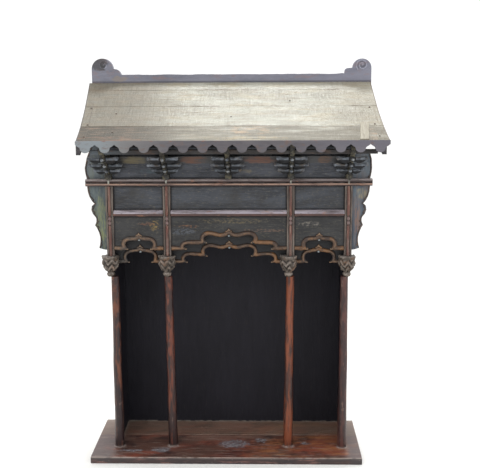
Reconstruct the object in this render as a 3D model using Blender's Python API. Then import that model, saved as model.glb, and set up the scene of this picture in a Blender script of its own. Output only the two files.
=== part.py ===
"""Altar shrine: a household shrine of carved and lacquered wood, open at the front.

Metres, +Z up. The origin is the middle of the base's underside, and the open front faces -Y.
The cabinet stands a little to the right of the base's middle, and its roof a little further right.
"""

import math

import bmesh
import bpy

# Room left between pieces that touch
touch_gap = 0.0003

# Base: two boards, the joint running from side to side
base_width = 0.826
base_depth = 0.306
base_thickness = 0.019
base_front_board_depth = 0.181
base_edge_round = 0.004

# Cabinet: side walls and back, set flush with the back of the base
cabinet_offset = 0.011
cabinet_depth = 0.229
side_thickness = 0.0105
back_thickness = 0.011

# Posts above the capitals, and the axes that the columns share with them
outer_axis = 0.3565
inner_axis = 0.185
post_width = 0.023
post_depth = 0.022
post_setback = 0.007
post_height = 0.211
post_bead_radius = 0.0045
post_fillet_radius = 0.003
post_pearl_height = 0.013
post_pearls = 2

# Columns: the outer two stand in from their capitals, the inner two have their feet set in and back
column_height = 0.545
column_radius = 0.0130
column_top_radius = 0.0118
column_foot_radius = 0.0148
column_foot_height = 0.160
outer_column_in = 0.0085
inner_foot_in = 0.005
inner_foot_back = 0.008
column_sides = 12

# Capitals, each a carved cup on a small turned ring
capital_ring_height = 0.014
capital_ring_radius = 0.0126
capital_height = 0.051
capital_radius = 0.027
capital_shifts = {
    "outer_left": -0.0035,
    "inner_left": -0.0035,
    "inner_right": -0.0055,
    "outer_right": -0.001,
}
capital_petals = 8
petal_depth = 0.0016

# Rails
rail_depth = 0.014
top_rail_height = 0.022
top_rail_half_width = 0.426
lower_rail_height = 0.019
lower_rail_drop = 0.072
rail_bevel = 0.006

# Frieze panels, and the board and beam above the top rail
panel_thickness = 0.008
upper_beam_height = 0.021
upper_beam_rise = 0.046
upper_beam_thickness = 0.012

# Aprons under the lower rail, in two layers, with a raised bead along the cut edge
apron_height = 0.100
apron_setback = 0.008
apron_thickness = 0.010
rear_apron_drop = 0.0455
bead_width = 0.009
bead_height = 0.003
curl_out = 0.011
curl_in = 0.010
edge_sag = 0.005
front_centre_cusps = ((0.129, 0.002, 0.017), (0.068, 0.021, 0.045))
front_centre_waist = (0.024, 0.039)
front_centre_peak = 0.047
front_side_cusps = ((0.035, 0.002, 0.0285),)
front_side_waist = (0.014, 0.029)
front_side_peak = 0.034
rear_centre_cusps = ((0.129, 0.002, 0.023), (0.068, 0.021, 0.049))
rear_centre_waist = (0.024, 0.043)
rear_centre_peak = 0.051
rear_side_cusps = ((0.035, 0.002, 0.032),)
rear_side_waist = (0.014, 0.034)
rear_side_peak = 0.039

# Wings: carved boards outside the outer posts
left_wing_width = 0.0600
right_wing_width = 0.0567
wing_drop = 0.194
left_wing_rise = 0.106
right_wing_rise = 0.078
left_wing_crown_shares = ((0.60, 1.0), (0.66, 0.84), (0.95, 0.62), (1.0, 0.30))
right_wing_crown_shares = ((0.78, 1.0), (0.93, 0.95), (1.0, 0.80), (1.0, 0.41))
wing_thickness = 0.009
wing_rim_width = 0.004
wing_rim_height = 0.002

# Brackets under the eave: forward reach, height of the arm's middle above the rail, half length
bracket_tiers = ((0.036, 0.026, 0.038), (0.066, 0.043, 0.047), (0.104, 0.068, 0.043))
bracket_width = 0.015
bracket_block_width = 0.021
bracket_block_height = 0.018
bracket_block_depth = 0.022
bracket_arm_height = 0.014
bracket_arm_thickness = 0.013
bracket_top = 0.0815
prong_toe_drop = 0.008

# Eave purlin, which the brackets carry
purlin_length = 0.817
purlin_shift = 0.018
purlin_height = 0.013
purlin_depth = 0.0155
purlin_forward = 0.1137
purlin_prong = 0.014

# Roof: one hollow-curved slope of planks, from the ridge at the back down to the eave
roof_width = 0.879
roof_thickness = 0.012
eave_overhang = 0.1295
eave_rise = 0.123
roof_rise = 0.159
eave_slope = 0.29
ridge_setback = 0.005
plank_joints = (0.102, 0.215, 0.296)
roof_shift_eave = 0.0165
roof_shift_ridge = -0.0015
curve_steps = 4

# Scalloped board along the eave
fascia_thickness = 0.010
fascia_height = 0.034
fascia_lobes = 16
lobe_half_width = 0.0145
lobe_height = 0.0125
notch_height = 0.0235

# Boards under the roof's ends
bargeboard_thickness = 0.0125
bargeboard_height = 0.028
right_bargeboard_inset = 0.009

# Ridge board with a scroll at each end; a step's corners are shares of its width and height
ridge_length = 0.873
ridge_shift = 0.0035
ridge_thickness = 0.022
ridge_height = 0.0245
scroll_centre_height = 0.0161
left_scroll_radius = 0.0334
right_scroll_radius = 0.0290
scroll_step_width = 0.0245
scroll_step_height = 0.017
left_step_shares = ((0.60, 1.0), (0.85, 0.60))
right_step_shares = ((0.95, 1.0), (1.0, 0.75))
scroll_eye_radius = 0.011
scroll_eye_height = 0.003
left_scroll_eye_in = 0.004
right_scroll_eye_in = 0.000
left_scroll_eye_up = 0.012
right_scroll_eye_up = 0.009

# Depths, from the back forwards
back_y = base_depth / 2
front_y = back_y - cabinet_depth
rail_back_y = front_y + rail_depth
panel_front_y = rail_back_y + touch_gap
post_front_y = front_y + post_setback
post_back_y = post_front_y + post_depth
column_y = (post_front_y + post_back_y) / 2
side_front_y = column_y + column_foot_radius + touch_gap
rear_rim_y = post_back_y + touch_gap
eave_y = front_y - eave_overhang
ridge_back_y = back_y - ridge_setback
ridge_front_y = ridge_back_y - ridge_thickness

# Heights, from the base up
base_top = base_thickness
column_top = base_top + column_height
capital_base = column_top + capital_ring_height
capital_top = capital_base + capital_height
rail_bottom = capital_top + post_height
rail_top = rail_bottom + top_rail_height
rail_middle = (rail_bottom + rail_top) / 2
lower_rail_top = rail_bottom - lower_rail_drop
lower_rail_bottom = lower_rail_top - lower_rail_height
lower_rail_middle = (lower_rail_top + lower_rail_bottom) / 2
apron_edge_z = lower_rail_bottom - apron_height
eave_top = rail_top + eave_rise
bracket_top_z = rail_top + bracket_top
ridge_foot_z = eave_top + roof_rise - roof_thickness
ridge_top_z = eave_top + roof_rise + ridge_height

# Widths, from the middle of the cabinet
side_outer_x = outer_axis - outer_column_in + column_radius - touch_gap
side_inner_x = side_outer_x - side_thickness
post_outer_x = outer_axis + post_width / 2
bay_centre = (outer_axis + inner_axis) / 2
lobe_pitch = roof_width / fascia_lobes

axes = {
    "outer_left": -outer_axis,
    "inner_left": -inner_axis,
    "inner_right": inner_axis,
    "outer_right": outer_axis,
}


def clear_scene():
    for thing in list(bpy.data.objects):
        bpy.data.objects.remove(thing, do_unlink=True)


def wood(name, colour, roughness):
    material = bpy.data.materials.new(name)
    material.use_nodes = True
    shader = material.node_tree.nodes["Principled BSDF"]
    shader.inputs["Base Color"].default_value = (*colour, 1.0)
    shader.inputs["Roughness"].default_value = roughness
    shader.inputs["Metallic"].default_value = 0.0
    return material


def place(name, mesh, material, parent, location=(0.0, 0.0, 0.0)):
    piece = bpy.data.objects.new(name, mesh)
    bpy.context.scene.collection.objects.link(piece)
    if material.name not in mesh.materials:
        mesh.materials.append(material)
    piece.parent = parent
    piece.location = location
    return piece


def mesh_of(name, points, faces):
    """A closed mesh from its points and faces, with the faces turned outwards."""
    shape = bmesh.new()
    corners = [shape.verts.new(point) for point in points]
    for face in faces:
        shape.faces.new([corners[i] for i in face])
    bmesh.ops.recalc_face_normals(shape, faces=shape.faces)
    mesh = bpy.data.meshes.new(name)
    shape.to_mesh(mesh)
    shape.free()
    return mesh


def smoothed(mesh, angle):
    mesh.shade_smooth()
    mesh.set_sharp_from_angle(angle=math.radians(angle))
    return mesh


def loft(name, rings):
    """Skins a row of rings that have the same number of points, and closes both ends."""
    count = len(rings[0])
    points = [point for ring in rings for point in ring]
    faces = [list(range(count)), list(range(len(points) - count, len(points)))]
    for level in range(len(rings) - 1):
        low = level * count
        for i in range(count):
            j = (i + 1) % count
            faces.append([low + i, low + j, low + count + j, low + count + i])
    return mesh_of(name, points, faces)


def prism_x(name, outline, start, end):
    """Runs a (y, z) outline from start to end along x."""
    return loft(name, [[(x, y, z) for y, z in outline] for x in (start, end)])


def prism_y(name, outline, start, end):
    """Runs an (x, z) outline from start to end along y."""
    return loft(name, [[(x, y, z) for x, z in outline] for y in (start, end)])


def bezier(a, b, c, d, steps):
    """The points of a cubic curve after a, up to and including d."""
    points = []
    for i in range(1, steps + 1):
        t = i / steps
        s = 1 - t
        weights = (s * s * s, 3 * s * s * t, 3 * s * t * t, t * t * t)
        points.append(tuple(sum(w * p[k] for w, p in zip(weights, (a, b, c, d))) for k in (0, 1)))
    return points


def arc(centre, radii, first, last, steps):
    """Points on an ellipse's arc, both ends included; angles in degrees."""
    points = []
    for i in range(steps + 1):
        angle = math.radians(first + (last - first) * i / steps)
        points.append((centre[0] + radii[0] * math.cos(angle), centre[1] + radii[1] * math.sin(angle)))
    return points


def rectangle(low, high):
    return [low, (high[0], low[1]), high, (low[0], high[1])]


def distance_to_line(point, line):
    """The shortest distance from a point to a chain of straight stretches."""
    nearest = math.inf
    for (ax, az), (bx, bz) in zip(line, line[1:]):
        run = (bx - ax, bz - az)
        length = run[0] ** 2 + run[1] ** 2
        along = ((point[0] - ax) * run[0] + (point[1] - az) * run[1]) / length
        along = min(1.0, max(0.0, along))
        nearest = min(nearest, math.dist(point, (ax + run[0] * along, az + run[1] * along)))
    return nearest


def inner_line(edge, width, first_step, last_step):
    """The edge moved into the wood, which lies to its left, without what would cross inside a cusp."""
    moved = [(edge[0][0] + first_step[0], edge[0][1] + first_step[1])]
    for before, here, after in zip(edge, edge[1:], edge[2:]):
        run = (after[0] - before[0], after[1] - before[1])
        length = math.hypot(*run)
        point = (here[0] - run[1] / length * width, here[1] + run[0] / length * width)
        if distance_to_line(point, edge) > 0.93 * width:
            moved.append(point)
    moved.append((edge[-1][0] + last_step[0], edge[-1][1] + last_step[1]))
    return moved


def beaded_board(name, edge, far_corners, bead, ends, front, thickness):
    """A board whose carved edge has a raised bead along it.

    bead is its width and height, ends the inset of its two ends, and front the plain face's y.
    """
    width, height = bead
    inner = inner_line(edge, width, *ends)
    back = front + thickness
    raised = front - height
    points = []

    def add(row, y):
        first = len(points)
        points.extend((x, y, z) for x, z in row)
        return list(range(first, len(points)))

    edge_raised = add(edge, raised)
    edge_back = add(edge, back)
    inner_raised = add(inner, raised)
    inner_front = add(inner, front)
    far_front = add(far_corners, front)
    far_back = add(far_corners, back)
    first_back, last_back = add([inner[0], inner[-1]], back)
    faces = [inner_front + far_front, edge_raised + inner_raised[::-1]]
    faces.append(edge_back + [last_back] + far_back + [first_back])
    for row, other in ((inner_front, inner_raised), (edge_raised, edge_back)):
        for i in range(len(row) - 1):
            faces.append([row[i], row[i + 1], other[i + 1], other[i]])
    faces.append([edge_raised[-1], inner_raised[-1], inner_front[-1], last_back, edge_back[-1]])
    faces.append([edge_raised[0], inner_raised[0], inner_front[0], first_back, edge_back[0]])
    around_front = [inner_front[-1]] + far_front + [inner_front[0]]
    around_back = [last_back] + far_back + [first_back]
    for i in range(len(around_front) - 1):
        faces.append([around_front[i], around_front[i + 1], around_back[i + 1], around_back[i]])
    return mesh_of(name, points, faces)


def roof_shift(y):
    """How far the roof's middle stands to the right of the cabinet's, at depth y."""
    share = (y - eave_y) / (ridge_front_y - eave_y)
    return roof_shift_eave + (roof_shift_ridge - roof_shift_eave) * share


def roof_z(y):
    """Height of the roof's upper face: hollow-curved, flatter towards the eave."""
    depth = ridge_front_y - eave_y
    run = y - eave_y
    hollow = (roof_rise - eave_slope * depth) / depth**2
    return eave_top + eave_slope * run + hollow * run**2


def roof_line(start, end, steps, drop):
    """Points under the roof's upper face, drop below it, from one depth to another."""
    return [
        (start + (end - start) * i / steps, roof_z(start + (end - start) * i / steps) - drop)
        for i in range(steps + 1)
    ]


def make_base(material, parent):
    joint_y = -base_depth / 2 + base_front_board_depth
    front = -base_depth / 2
    low_round = base_edge_round / 2
    outline = [(joint_y, 0.0), (joint_y, base_thickness), (front + base_edge_round, base_thickness)]
    outline += [(front, base_thickness - low_round), (front, 0.0)]
    mesh = prism_x("base_front_board", outline, -base_width / 2, base_width / 2)
    place("base_front_board", mesh, material, parent)
    outline = rectangle((joint_y + touch_gap, 0.0), (base_depth / 2, base_thickness))
    mesh = prism_x("base_rear_board", outline, -base_width / 2, base_width / 2)
    place("base_rear_board", mesh, material, parent)


def make_walls(material, parent):
    foot = base_top + touch_gap
    head = ridge_foot_z - touch_gap
    outline = [(side_front_y, foot), (back_y, foot), (back_y, head)]
    outline += roof_line(ridge_front_y, side_front_y, 2 * curve_steps, roof_thickness + touch_gap)
    for name, side in (("left_side_panel", -1), ("right_side_panel", 1)):
        mesh = prism_x(name, outline, side * side_inner_x, side * side_outer_x)
        place(name, mesh, material, parent)
    half = side_inner_x - touch_gap
    mesh = prism_y("back_panel", rectangle((-half, foot), (half, head)), back_y - back_thickness, back_y)
    place("back_panel", mesh, material, parent)


def make_columns(material, parent):
    """Round shafts that swell a little towards the foot."""
    stations = [(base_top + touch_gap, column_foot_radius), (base_top + column_foot_height, column_radius)]
    stations.append((column_top - touch_gap, column_top_radius))
    for name, x in axes.items():
        inner = abs(x) == inner_axis
        foot_in = -math.copysign(inner_foot_in, x) if inner else 0.0
        foot_back = inner_foot_back if inner else 0.0
        shaft_x = x if inner else x - math.copysign(outer_column_in, x)
        rings = []
        for z, radius in stations:
            lean = (column_top - z) / column_height
            centre = (foot_in * lean, foot_back * lean)
            circle = arc(centre, (radius, radius), 0, 360 - 360 / column_sides, column_sides - 1)
            rings.append([(px, py, z) for px, py in circle])
        mesh = smoothed(loft(f"column_{name}", rings), 40)
        place(f"column_{name}", mesh, material, parent, (shaft_x, column_y, 0.0))


def capital_ring(radius, z, petal, turn):
    """One level of a capital: a circle with petals, cut flat where it meets the post's back."""
    count = 2 * capital_petals
    ring = []
    for i in range(count):
        angle = 2 * math.pi * i / count
        reach = radius + petal * math.cos(capital_petals * angle + turn)
        y = min(reach * math.sin(angle), post_back_y - column_y)
        ring.append((reach * math.cos(angle), y, z))
    return ring


def make_capitals(material, parent):
    lower_cup = ((0.0, 0.52, 0), (0.2, 0.76, 1), (0.42, 0.92, 1))
    cup = lower_cup + ((0.60, 0.96, -1), (0.80, 0.95, -1), (0.86, 1.0, 0))
    rings = [capital_ring(0.8 * capital_ring_radius, column_top + touch_gap, 0.0, 0.0)]
    for share, size in ((0.3, 1.0), (0.7, 1.0), (0.98, 0.8)):
        z = column_top + capital_ring_height * share
        rings.append(capital_ring(size * capital_ring_radius, z, 0.0, 0.0))
    for share, size, petal in cup:
        turn = math.pi if petal < 0 else 0.0
        z = capital_base + capital_height * share
        rings.append(capital_ring(size * capital_radius, z, abs(petal) * petal_depth, turn))
    rings.append(capital_ring(capital_radius, capital_top - 0.003, 0.0, 0.0))
    rings.append(capital_ring(0.9 * capital_radius, capital_top - touch_gap, 0.0, 0.0))
    mesh = loft("capital", rings)
    for name, x in axes.items():
        place(f"capital_{name}", mesh, material, parent, (x + capital_shifts[name], column_y, 0.0))


def post_ring(z, bead_radius):
    """A post's section: a square back, an edge fillet each side and a round bead down the middle."""
    half = post_width / 2
    fillet = post_fillet_radius
    section = [(-half, post_back_y - column_y)]
    for centre, radius in ((fillet - half, fillet), (0.0, bead_radius), (half - fillet, fillet)):
        section += arc((centre, post_front_y - column_y), (radius, radius), 180, 360, 4)
    section.append((half, post_back_y - column_y))
    return [(x, y, z) for x, y in section]


def make_posts(material, parent):
    """Posts from the capitals to the top rail, whose bead breaks into pearls under the lower rail."""
    thin = 0.45 * post_bead_radius
    pearls_top = lower_rail_bottom
    pearls_foot = pearls_top - post_pearls * post_pearl_height
    stations = [(capital_top + touch_gap, post_bead_radius), (pearls_foot - 0.001, post_bead_radius)]
    for i in range(post_pearls):
        foot = pearls_foot + i * post_pearl_height
        stations.append((foot, thin))
        stations.append((foot + 0.25 * post_pearl_height, post_bead_radius))
        stations.append((foot + 0.75 * post_pearl_height, post_bead_radius))
    stations += [(pearls_top, thin), (pearls_top + 0.001, post_bead_radius)]
    stations.append((rail_bottom - touch_gap, post_bead_radius))
    mesh = loft("post", [post_ring(z, radius) for z, radius in stations])
    for name, x in axes.items():
        place(f"post_{name}", mesh, material, parent, (x, column_y, 0.0))


def make_rails(material, parent):
    """The top rail with its two beads, and the bevelled lower rails between the posts."""
    bead = top_rail_height / 4
    outline = [(rail_back_y, rail_bottom), (rail_back_y, rail_top)]
    for centre in (rail_top - bead, rail_bottom + bead):
        outline += arc((front_y + bead, centre), (bead, bead), 90, 270, 4)
    mesh = prism_x("top_rail", outline, -top_rail_half_width, top_rail_half_width)
    place("top_rail", mesh, material, parent)
    outline = [(rail_back_y, lower_rail_bottom), (rail_back_y, lower_rail_top)]
    outline += [(front_y + rail_bevel, lower_rail_top), (front_y, lower_rail_top - rail_bevel)]
    outline.append((front_y, lower_rail_bottom + rail_bevel / 2))
    outline.append((front_y + rail_bevel / 2, lower_rail_bottom))
    for name, low, high in bays():
        mesh = prism_x(f"lower_rail_{name}", outline, low, high)
        place(f"lower_rail_{name}", mesh, material, parent)


def bays():
    """Each bay between two posts, with the x of its two sides."""
    room = post_width / 2 + touch_gap
    yield "left", -outer_axis + room, -inner_axis - room
    yield "centre", -inner_axis + room, inner_axis - room
    yield "right", inner_axis + room, outer_axis - room


def make_panels(material, parent):
    """Sunk panels behind the rails, and the tall board behind the brackets."""
    panel_back_y = panel_front_y + panel_thickness
    for name, low, high in bays():
        outline = rectangle((low, lower_rail_middle), (high, rail_middle))
        mesh = prism_y(f"frieze_panel_{name}", outline, panel_front_y, panel_back_y)
        place(f"frieze_panel_{name}", mesh, material, parent)
    outline = [(panel_front_y, rail_middle + touch_gap), (panel_back_y, rail_middle + touch_gap)]
    outline += roof_line(panel_back_y, panel_front_y, 1, roof_thickness + touch_gap)
    mesh = prism_x("upper_frieze_board", outline, -post_outer_x, post_outer_x)
    place("upper_frieze_board", mesh, material, parent)


def make_upper_beam(material, parent):
    low = rail_top + upper_beam_rise
    beam_back_y = rail_back_y
    outline = rectangle((beam_back_y - upper_beam_thickness, low), (beam_back_y, low + upper_beam_height))
    mesh = prism_x("upper_beam", outline, -post_outer_x, post_outer_x)
    place("upper_beam", mesh, material, parent)


def half_edge(half_width, cusps, waist, peak):
    """The left half of an apron's cut edge, from its side to the peak, above the plain edge."""
    points = [(-half_width, 0.0)]
    for cusp_x, cusp_z, step_z in cusps:
        x, z = points[-1]
        run = -cusp_x - x
        tip = (-cusp_x, cusp_z)
        sag = edge_sag if cusp_z > z else edge_sag / 2
        points += bezier(points[-1], (x + 0.4 * run, z), (x + 0.7 * run, cusp_z - sag), tip, 4)
        rise = step_z - cusp_z
        back = -cusp_x - curl_out
        points += bezier(tip, (back, cusp_z + 0.3 * rise), (back, step_z), (-cusp_x + curl_in, step_z), 6)
    x, z = points[-1]
    waist_x, waist_z = waist
    waist_point = (-waist_x, waist_z)
    points += bezier(points[-1], (x + 0.4 * (-waist_x - x), z), (-1.5 * waist_x, waist_z), waist_point, 3)
    below_peak = (-0.25 * waist_x, peak - 0.003)
    points += bezier(waist_point, (-0.5 * waist_x, waist_z), below_peak, (0, peak), 3)
    return points


def apron_edge(centre, low, high, base_z, cusps, waist, peak):
    """A whole cut edge, between the x of its two sides."""
    left = half_edge(centre - low, cusps, waist, peak)
    right = half_edge(high - centre, cusps, waist, peak)
    points = left + [(-x, z) for x, z in right[-2::-1]]
    return [(centre + x, base_z + z) for x, z in points]


def make_aprons(material, parent):
    """Aprons between the posts, and a second row of them close behind, hanging lower."""
    front_side = (front_side_cusps, front_side_waist, front_side_peak)
    front_centre = (front_centre_cusps, front_centre_waist, front_centre_peak)
    rear_side = (rear_side_cusps, rear_side_waist, rear_side_peak)
    rear_centre = (rear_centre_cusps, rear_centre_waist, rear_centre_peak)
    centres = {"left": -bay_centre, "centre": 0.0, "right": bay_centre}
    ends = ((0.0, bead_width), (0.0, bead_width))
    bead = (bead_width, bead_height)
    top = lower_rail_bottom - touch_gap
    for name, low, high in bays():
        carving = front_centre if name == "centre" else front_side
        edge = apron_edge(centres[name], low, high, apron_edge_z, *carving)
        corners = [(high, top), (low, top)]
        front = front_y + apron_setback
        mesh = beaded_board("front_apron", edge, corners, bead, ends, front, apron_thickness)
        place(f"front_apron_{name}", mesh, material, parent)
    wall = side_inner_x - touch_gap
    half_gap = touch_gap / 2
    sides = {
        "left": (-wall, -inner_axis - half_gap),
        "centre": (-inner_axis + half_gap, inner_axis - half_gap),
        "right": (inner_axis + half_gap, wall),
    }
    for name, (low, high) in sides.items():
        base_z = apron_edge_z - rear_apron_drop
        carving = rear_centre if name == "centre" else rear_side
        edge = apron_edge(centres[name], low, high, base_z, *carving)
        corners = [(high, top), (low, top)]
        front = rear_rim_y + bead_height
        mesh = beaded_board("rear_apron", edge, corners, bead, ends, front, apron_thickness)
        place(f"rear_apron_{name}", mesh, material, parent)


def wing_edge(width, rise, crown):
    """A left wing's carved edge from its top down, as shares of its reach and of its height."""
    hip = crown[-1][1]
    above = (crown, ((1.0, hip), (1.0, 0.57 * hip), (0.94, 0.27 * hip), (0.92, 0.0)))
    below = (
        ((0.915, 0.0), (0.904, 0.13), (0.771, 0.22), (0.571, 0.276)),
        ((0.571, 0.276), (0.851, 0.315), (0.76, 0.424), (0.533, 0.483)),
        ((0.533, 0.483), (0.479, 0.517), (0.497, 0.574), (0.582, 0.609)),
        ((0.582, 0.609), (0.454, 0.661), (0.295, 0.775), (0.333, 0.858)),
        ((0.333, 0.858), (0.349, 0.90), (0.365, 0.93), (0.406, 0.964)),
        ((0.406, 0.964), (0.29, 0.99), (0.098, 1.0), (0.0, 1.0)),
    )
    inner_x = post_outer_x + touch_gap

    def upper(point):
        return (-inner_x - point[0] * width, rail_top + point[1] * rise)

    def lower(point):
        return (-inner_x - point[0] * width, rail_bottom - point[1] * wing_drop)

    points = [upper(above[0][0])]
    for curve in above:
        points += bezier(*[upper(point) for point in curve], 3)
    points.append(lower(below[0][0]))
    for curve in below:
        points += bezier(*[lower(point) for point in curve], 4)
    return points


def make_wings(material, parent):
    edge = wing_edge(left_wing_width, left_wing_rise, left_wing_crown_shares)
    inner_x = post_outer_x + touch_gap
    bead = (wing_rim_width, wing_rim_height)
    front = panel_front_y + wing_rim_height
    corner = (-inner_x, rail_top + left_wing_rise)
    ends = ((wing_rim_width, 0.0), (0.0, wing_rim_width))
    mesh = beaded_board("left_wing", edge, [corner], bead, ends, front, wing_thickness)
    place("left_wing", mesh, material, parent)
    right_edge = wing_edge(right_wing_width, right_wing_rise, right_wing_crown_shares)
    edge = [(-x, z) for x, z in reversed(right_edge)]
    corner = (inner_x, rail_top + right_wing_rise)
    ends = ((0.0, wing_rim_width), (-wing_rim_width, 0.0))
    mesh = beaded_board("right_wing", edge, [corner], bead, ends, front, wing_thickness)
    place("right_wing", mesh, material, parent)


def bracket_outline():
    """Side view of a bracket's strut: a block on the rail, steps forward under the arms, and a prong.

    The purlin lies in the seat behind the prong, whose head meets the roof.
    """
    board_y = rail_back_y - touch_gap
    beam_y = rail_back_y - upper_beam_thickness - touch_gap
    beam_low = rail_top + upper_beam_rise - touch_gap
    foot = rail_top + touch_gap
    block_y = board_y - bracket_block_depth
    block_top = foot + bracket_block_height
    outline = [(board_y, foot), (block_y, foot), (block_y, block_top)]
    y = block_y
    for reach, middle, _ in bracket_tiers:
        low = rail_top + middle - bracket_arm_height / 2
        high = rail_top + middle + bracket_arm_height / 2
        tip = board_y - reach
        outline += [(y + 0.003, low - 0.001), (0.6 * y + 0.4 * tip, low), (tip, low + 0.005), (tip, high)]
        y = tip
    purlin_front_y = board_y - purlin_forward
    prong_y = purlin_front_y - purlin_prong
    head = roof_thickness + touch_gap
    outline.append((prong_y, bracket_top_z - prong_toe_drop))
    outline.append((prong_y, roof_z(prong_y) - head))
    outline.append((purlin_front_y - touch_gap, roof_z(purlin_front_y - touch_gap) - head))
    outline.append((purlin_front_y - touch_gap, bracket_top_z))
    outline += [(beam_y, bracket_top_z), (beam_y, beam_low), (board_y, beam_low)]
    return outline


def arm_outline(middle, half_length):
    """Front view of a bracket's arm: a bow whose ends turn up."""
    low = rail_top + middle - bracket_arm_height / 2
    high = rail_top + middle + bracket_arm_height / 2
    lift = 0.6 * bracket_arm_height
    right = [(0.45 * half_length, low), (0.8 * half_length, low + 0.2 * lift), (half_length, low + lift)]
    right += [(half_length, high), (0.9 * half_length, high)]
    right += [(0.72 * half_length, high - 0.25 * lift), (0.5 * half_length, high)]
    return [(-x, z) for x, z in reversed(right)] + right


def make_brackets(material, parent):
    """Five alike brackets, each a strut with three crossing arms and a block, fused into one."""
    half = bracket_width / 2
    strut = place("bracket_strut", prism_x("strut", bracket_outline(), -half, half), material, None)
    board_y = rail_back_y - touch_gap
    helpers = []
    for reach, middle, half_length in bracket_tiers:
        arm_front = board_y - reach + 0.004
        outline = arm_outline(middle, half_length)
        mesh = prism_y("arm", outline, arm_front, arm_front + bracket_arm_thickness)
        helpers.append(place("bracket_arm", mesh, material, None))
    block_half = bracket_block_width / 2
    low = (board_y - bracket_block_depth - 0.001, rail_top + touch_gap)
    high = (board_y - 0.002, rail_top + bracket_block_height - 0.002)
    mesh = prism_x("block", rectangle(low, high), -block_half, block_half)
    helpers.append(place("bracket_block", mesh, material, None))
    for helper in helpers:
        helper.hide_render = True
        helper.display_type = "WIRE"
        join = strut.modifiers.new("join", "BOOLEAN")
        join.operation = "UNION"
        join.solver = "EXACT"
        join.object = helper
    graph = bpy.context.evaluated_depsgraph_get()
    fused = bpy.data.meshes.new_from_object(strut.evaluated_get(graph))
    for thing in [strut] + helpers:
        bpy.data.objects.remove(thing, do_unlink=True)
    names = ("far_left", "left", "centre", "right", "far_right")
    for name, x in zip(names, (-outer_axis, -inner_axis, 0.0, inner_axis, outer_axis)):
        place(f"bracket_{name}", fused, material, parent, (x, 0.0, 0.0))


def make_purlin(material, parent):
    front = rail_back_y - touch_gap - purlin_forward
    low = bracket_top_z + touch_gap
    outline = rectangle((front, low), (front + purlin_depth, low + purlin_height))
    left = purlin_shift - purlin_length / 2
    mesh = prism_x("eave_purlin", outline, left, left + purlin_length)
    place("eave_purlin", mesh, material, parent)


def skewed_strip(name, outline, left, right):
    """A (y, z) outline between two ends whose x depends on depth."""
    return loft(name, [[(end(y), y, z) for y, z in outline] for end in (left, right)])


def roof_left(y):
    return roof_shift(y) - roof_width / 2


def roof_right(y):
    return roof_shift(y) + roof_width / 2


def make_roof(material, parent):
    """Planks laid side by side from the eave up."""
    edges = [eave_y] + [eave_y + joint for joint in plank_joints] + [ridge_front_y]
    names = ("eave", "lower", "upper", "ridge")
    for name, low, high in zip(names, edges, edges[1:]):
        top = roof_line(low, high - touch_gap, curve_steps, 0.0)
        under = roof_line(high - touch_gap, low, curve_steps, roof_thickness)
        under[0] = (high - touch_gap, under[0][1])
        mesh = skewed_strip(f"roof_plank_{name}", top + under, roof_left, roof_right)
        place(f"roof_plank_{name}", mesh, material, parent)


def make_bargeboards(material, parent):
    top_drop = roof_thickness + touch_gap
    start = eave_y
    end = ridge_front_y - touch_gap
    outline = roof_line(start, end, 2 * curve_steps, top_drop)
    outline += roof_line(end, start, 2 * curve_steps, top_drop + bargeboard_height)

    def left_inner(y):
        return roof_left(y) + bargeboard_thickness

    def right_outer(y):
        return roof_right(y) - right_bargeboard_inset

    def right_inner(y):
        return right_outer(y) - bargeboard_thickness

    mesh = skewed_strip("left_bargeboard", outline, roof_left, left_inner)
    place("left_bargeboard", mesh, material, parent)
    mesh = skewed_strip("right_bargeboard", outline, right_inner, right_outer)
    place("right_bargeboard", mesh, material, parent)


def scallops():
    """The fascia's lower edge from left to right: round lobes that flare up to pointed notches."""
    low = eave_top - fascia_height
    shoulder = low + lobe_height
    notch = low + notch_height
    bend = 0.6 * shoulder + 0.4 * notch
    half_pitch = lobe_pitch / 2
    turn = 0.4 * lobe_half_width + 0.6 * half_pitch
    top = (half_pitch, notch)
    flare = bezier((lobe_half_width, shoulder), (lobe_half_width, bend), (turn, bend), top, 4)
    points = [(roof_left(eave_y), notch)]
    for i in range(fascia_lobes):
        centre = roof_left(eave_y) + (i + 0.5) * lobe_pitch
        half = arc((0.0, 0.0), (lobe_half_width, lobe_height), 270, 360, 4)
        side = [(x, shoulder + z) for x, z in half] + flare
        points += [(centre - x, z) for x, z in reversed(side[1:-1])] + [(centre + x, z) for x, z in side]
    return points


def make_fascia(material, parent):
    outline = scallops()
    outline += [(roof_right(eave_y), eave_top), (roof_left(eave_y), eave_top)]
    mesh = prism_y("fascia_board", outline, eave_y - touch_gap - fascia_thickness, eave_y - touch_gap)
    place("fascia_board", mesh, material, parent)


def scroll_end(radius, step_shares):
    """A right-hand scroll's outline, from its outer foot up and round to the flat top of the board."""
    outer_x = ridge_length / 2
    centre = (outer_x - radius, ridge_top_z + scroll_centre_height)
    points = [(outer_x, ridge_foot_z), (outer_x, centre[1])]
    points += arc(centre, (radius, radius), 20, 176, 8)
    step_x = centre[0] - radius
    bends = [(step_x - x * scroll_step_width, ridge_top_z + z * scroll_step_height) for x, z in step_shares]
    step_end = (step_x - scroll_step_width, ridge_top_z)
    points += bezier((step_x, ridge_top_z + scroll_step_height), *bends, step_end, 4)
    return points


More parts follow.
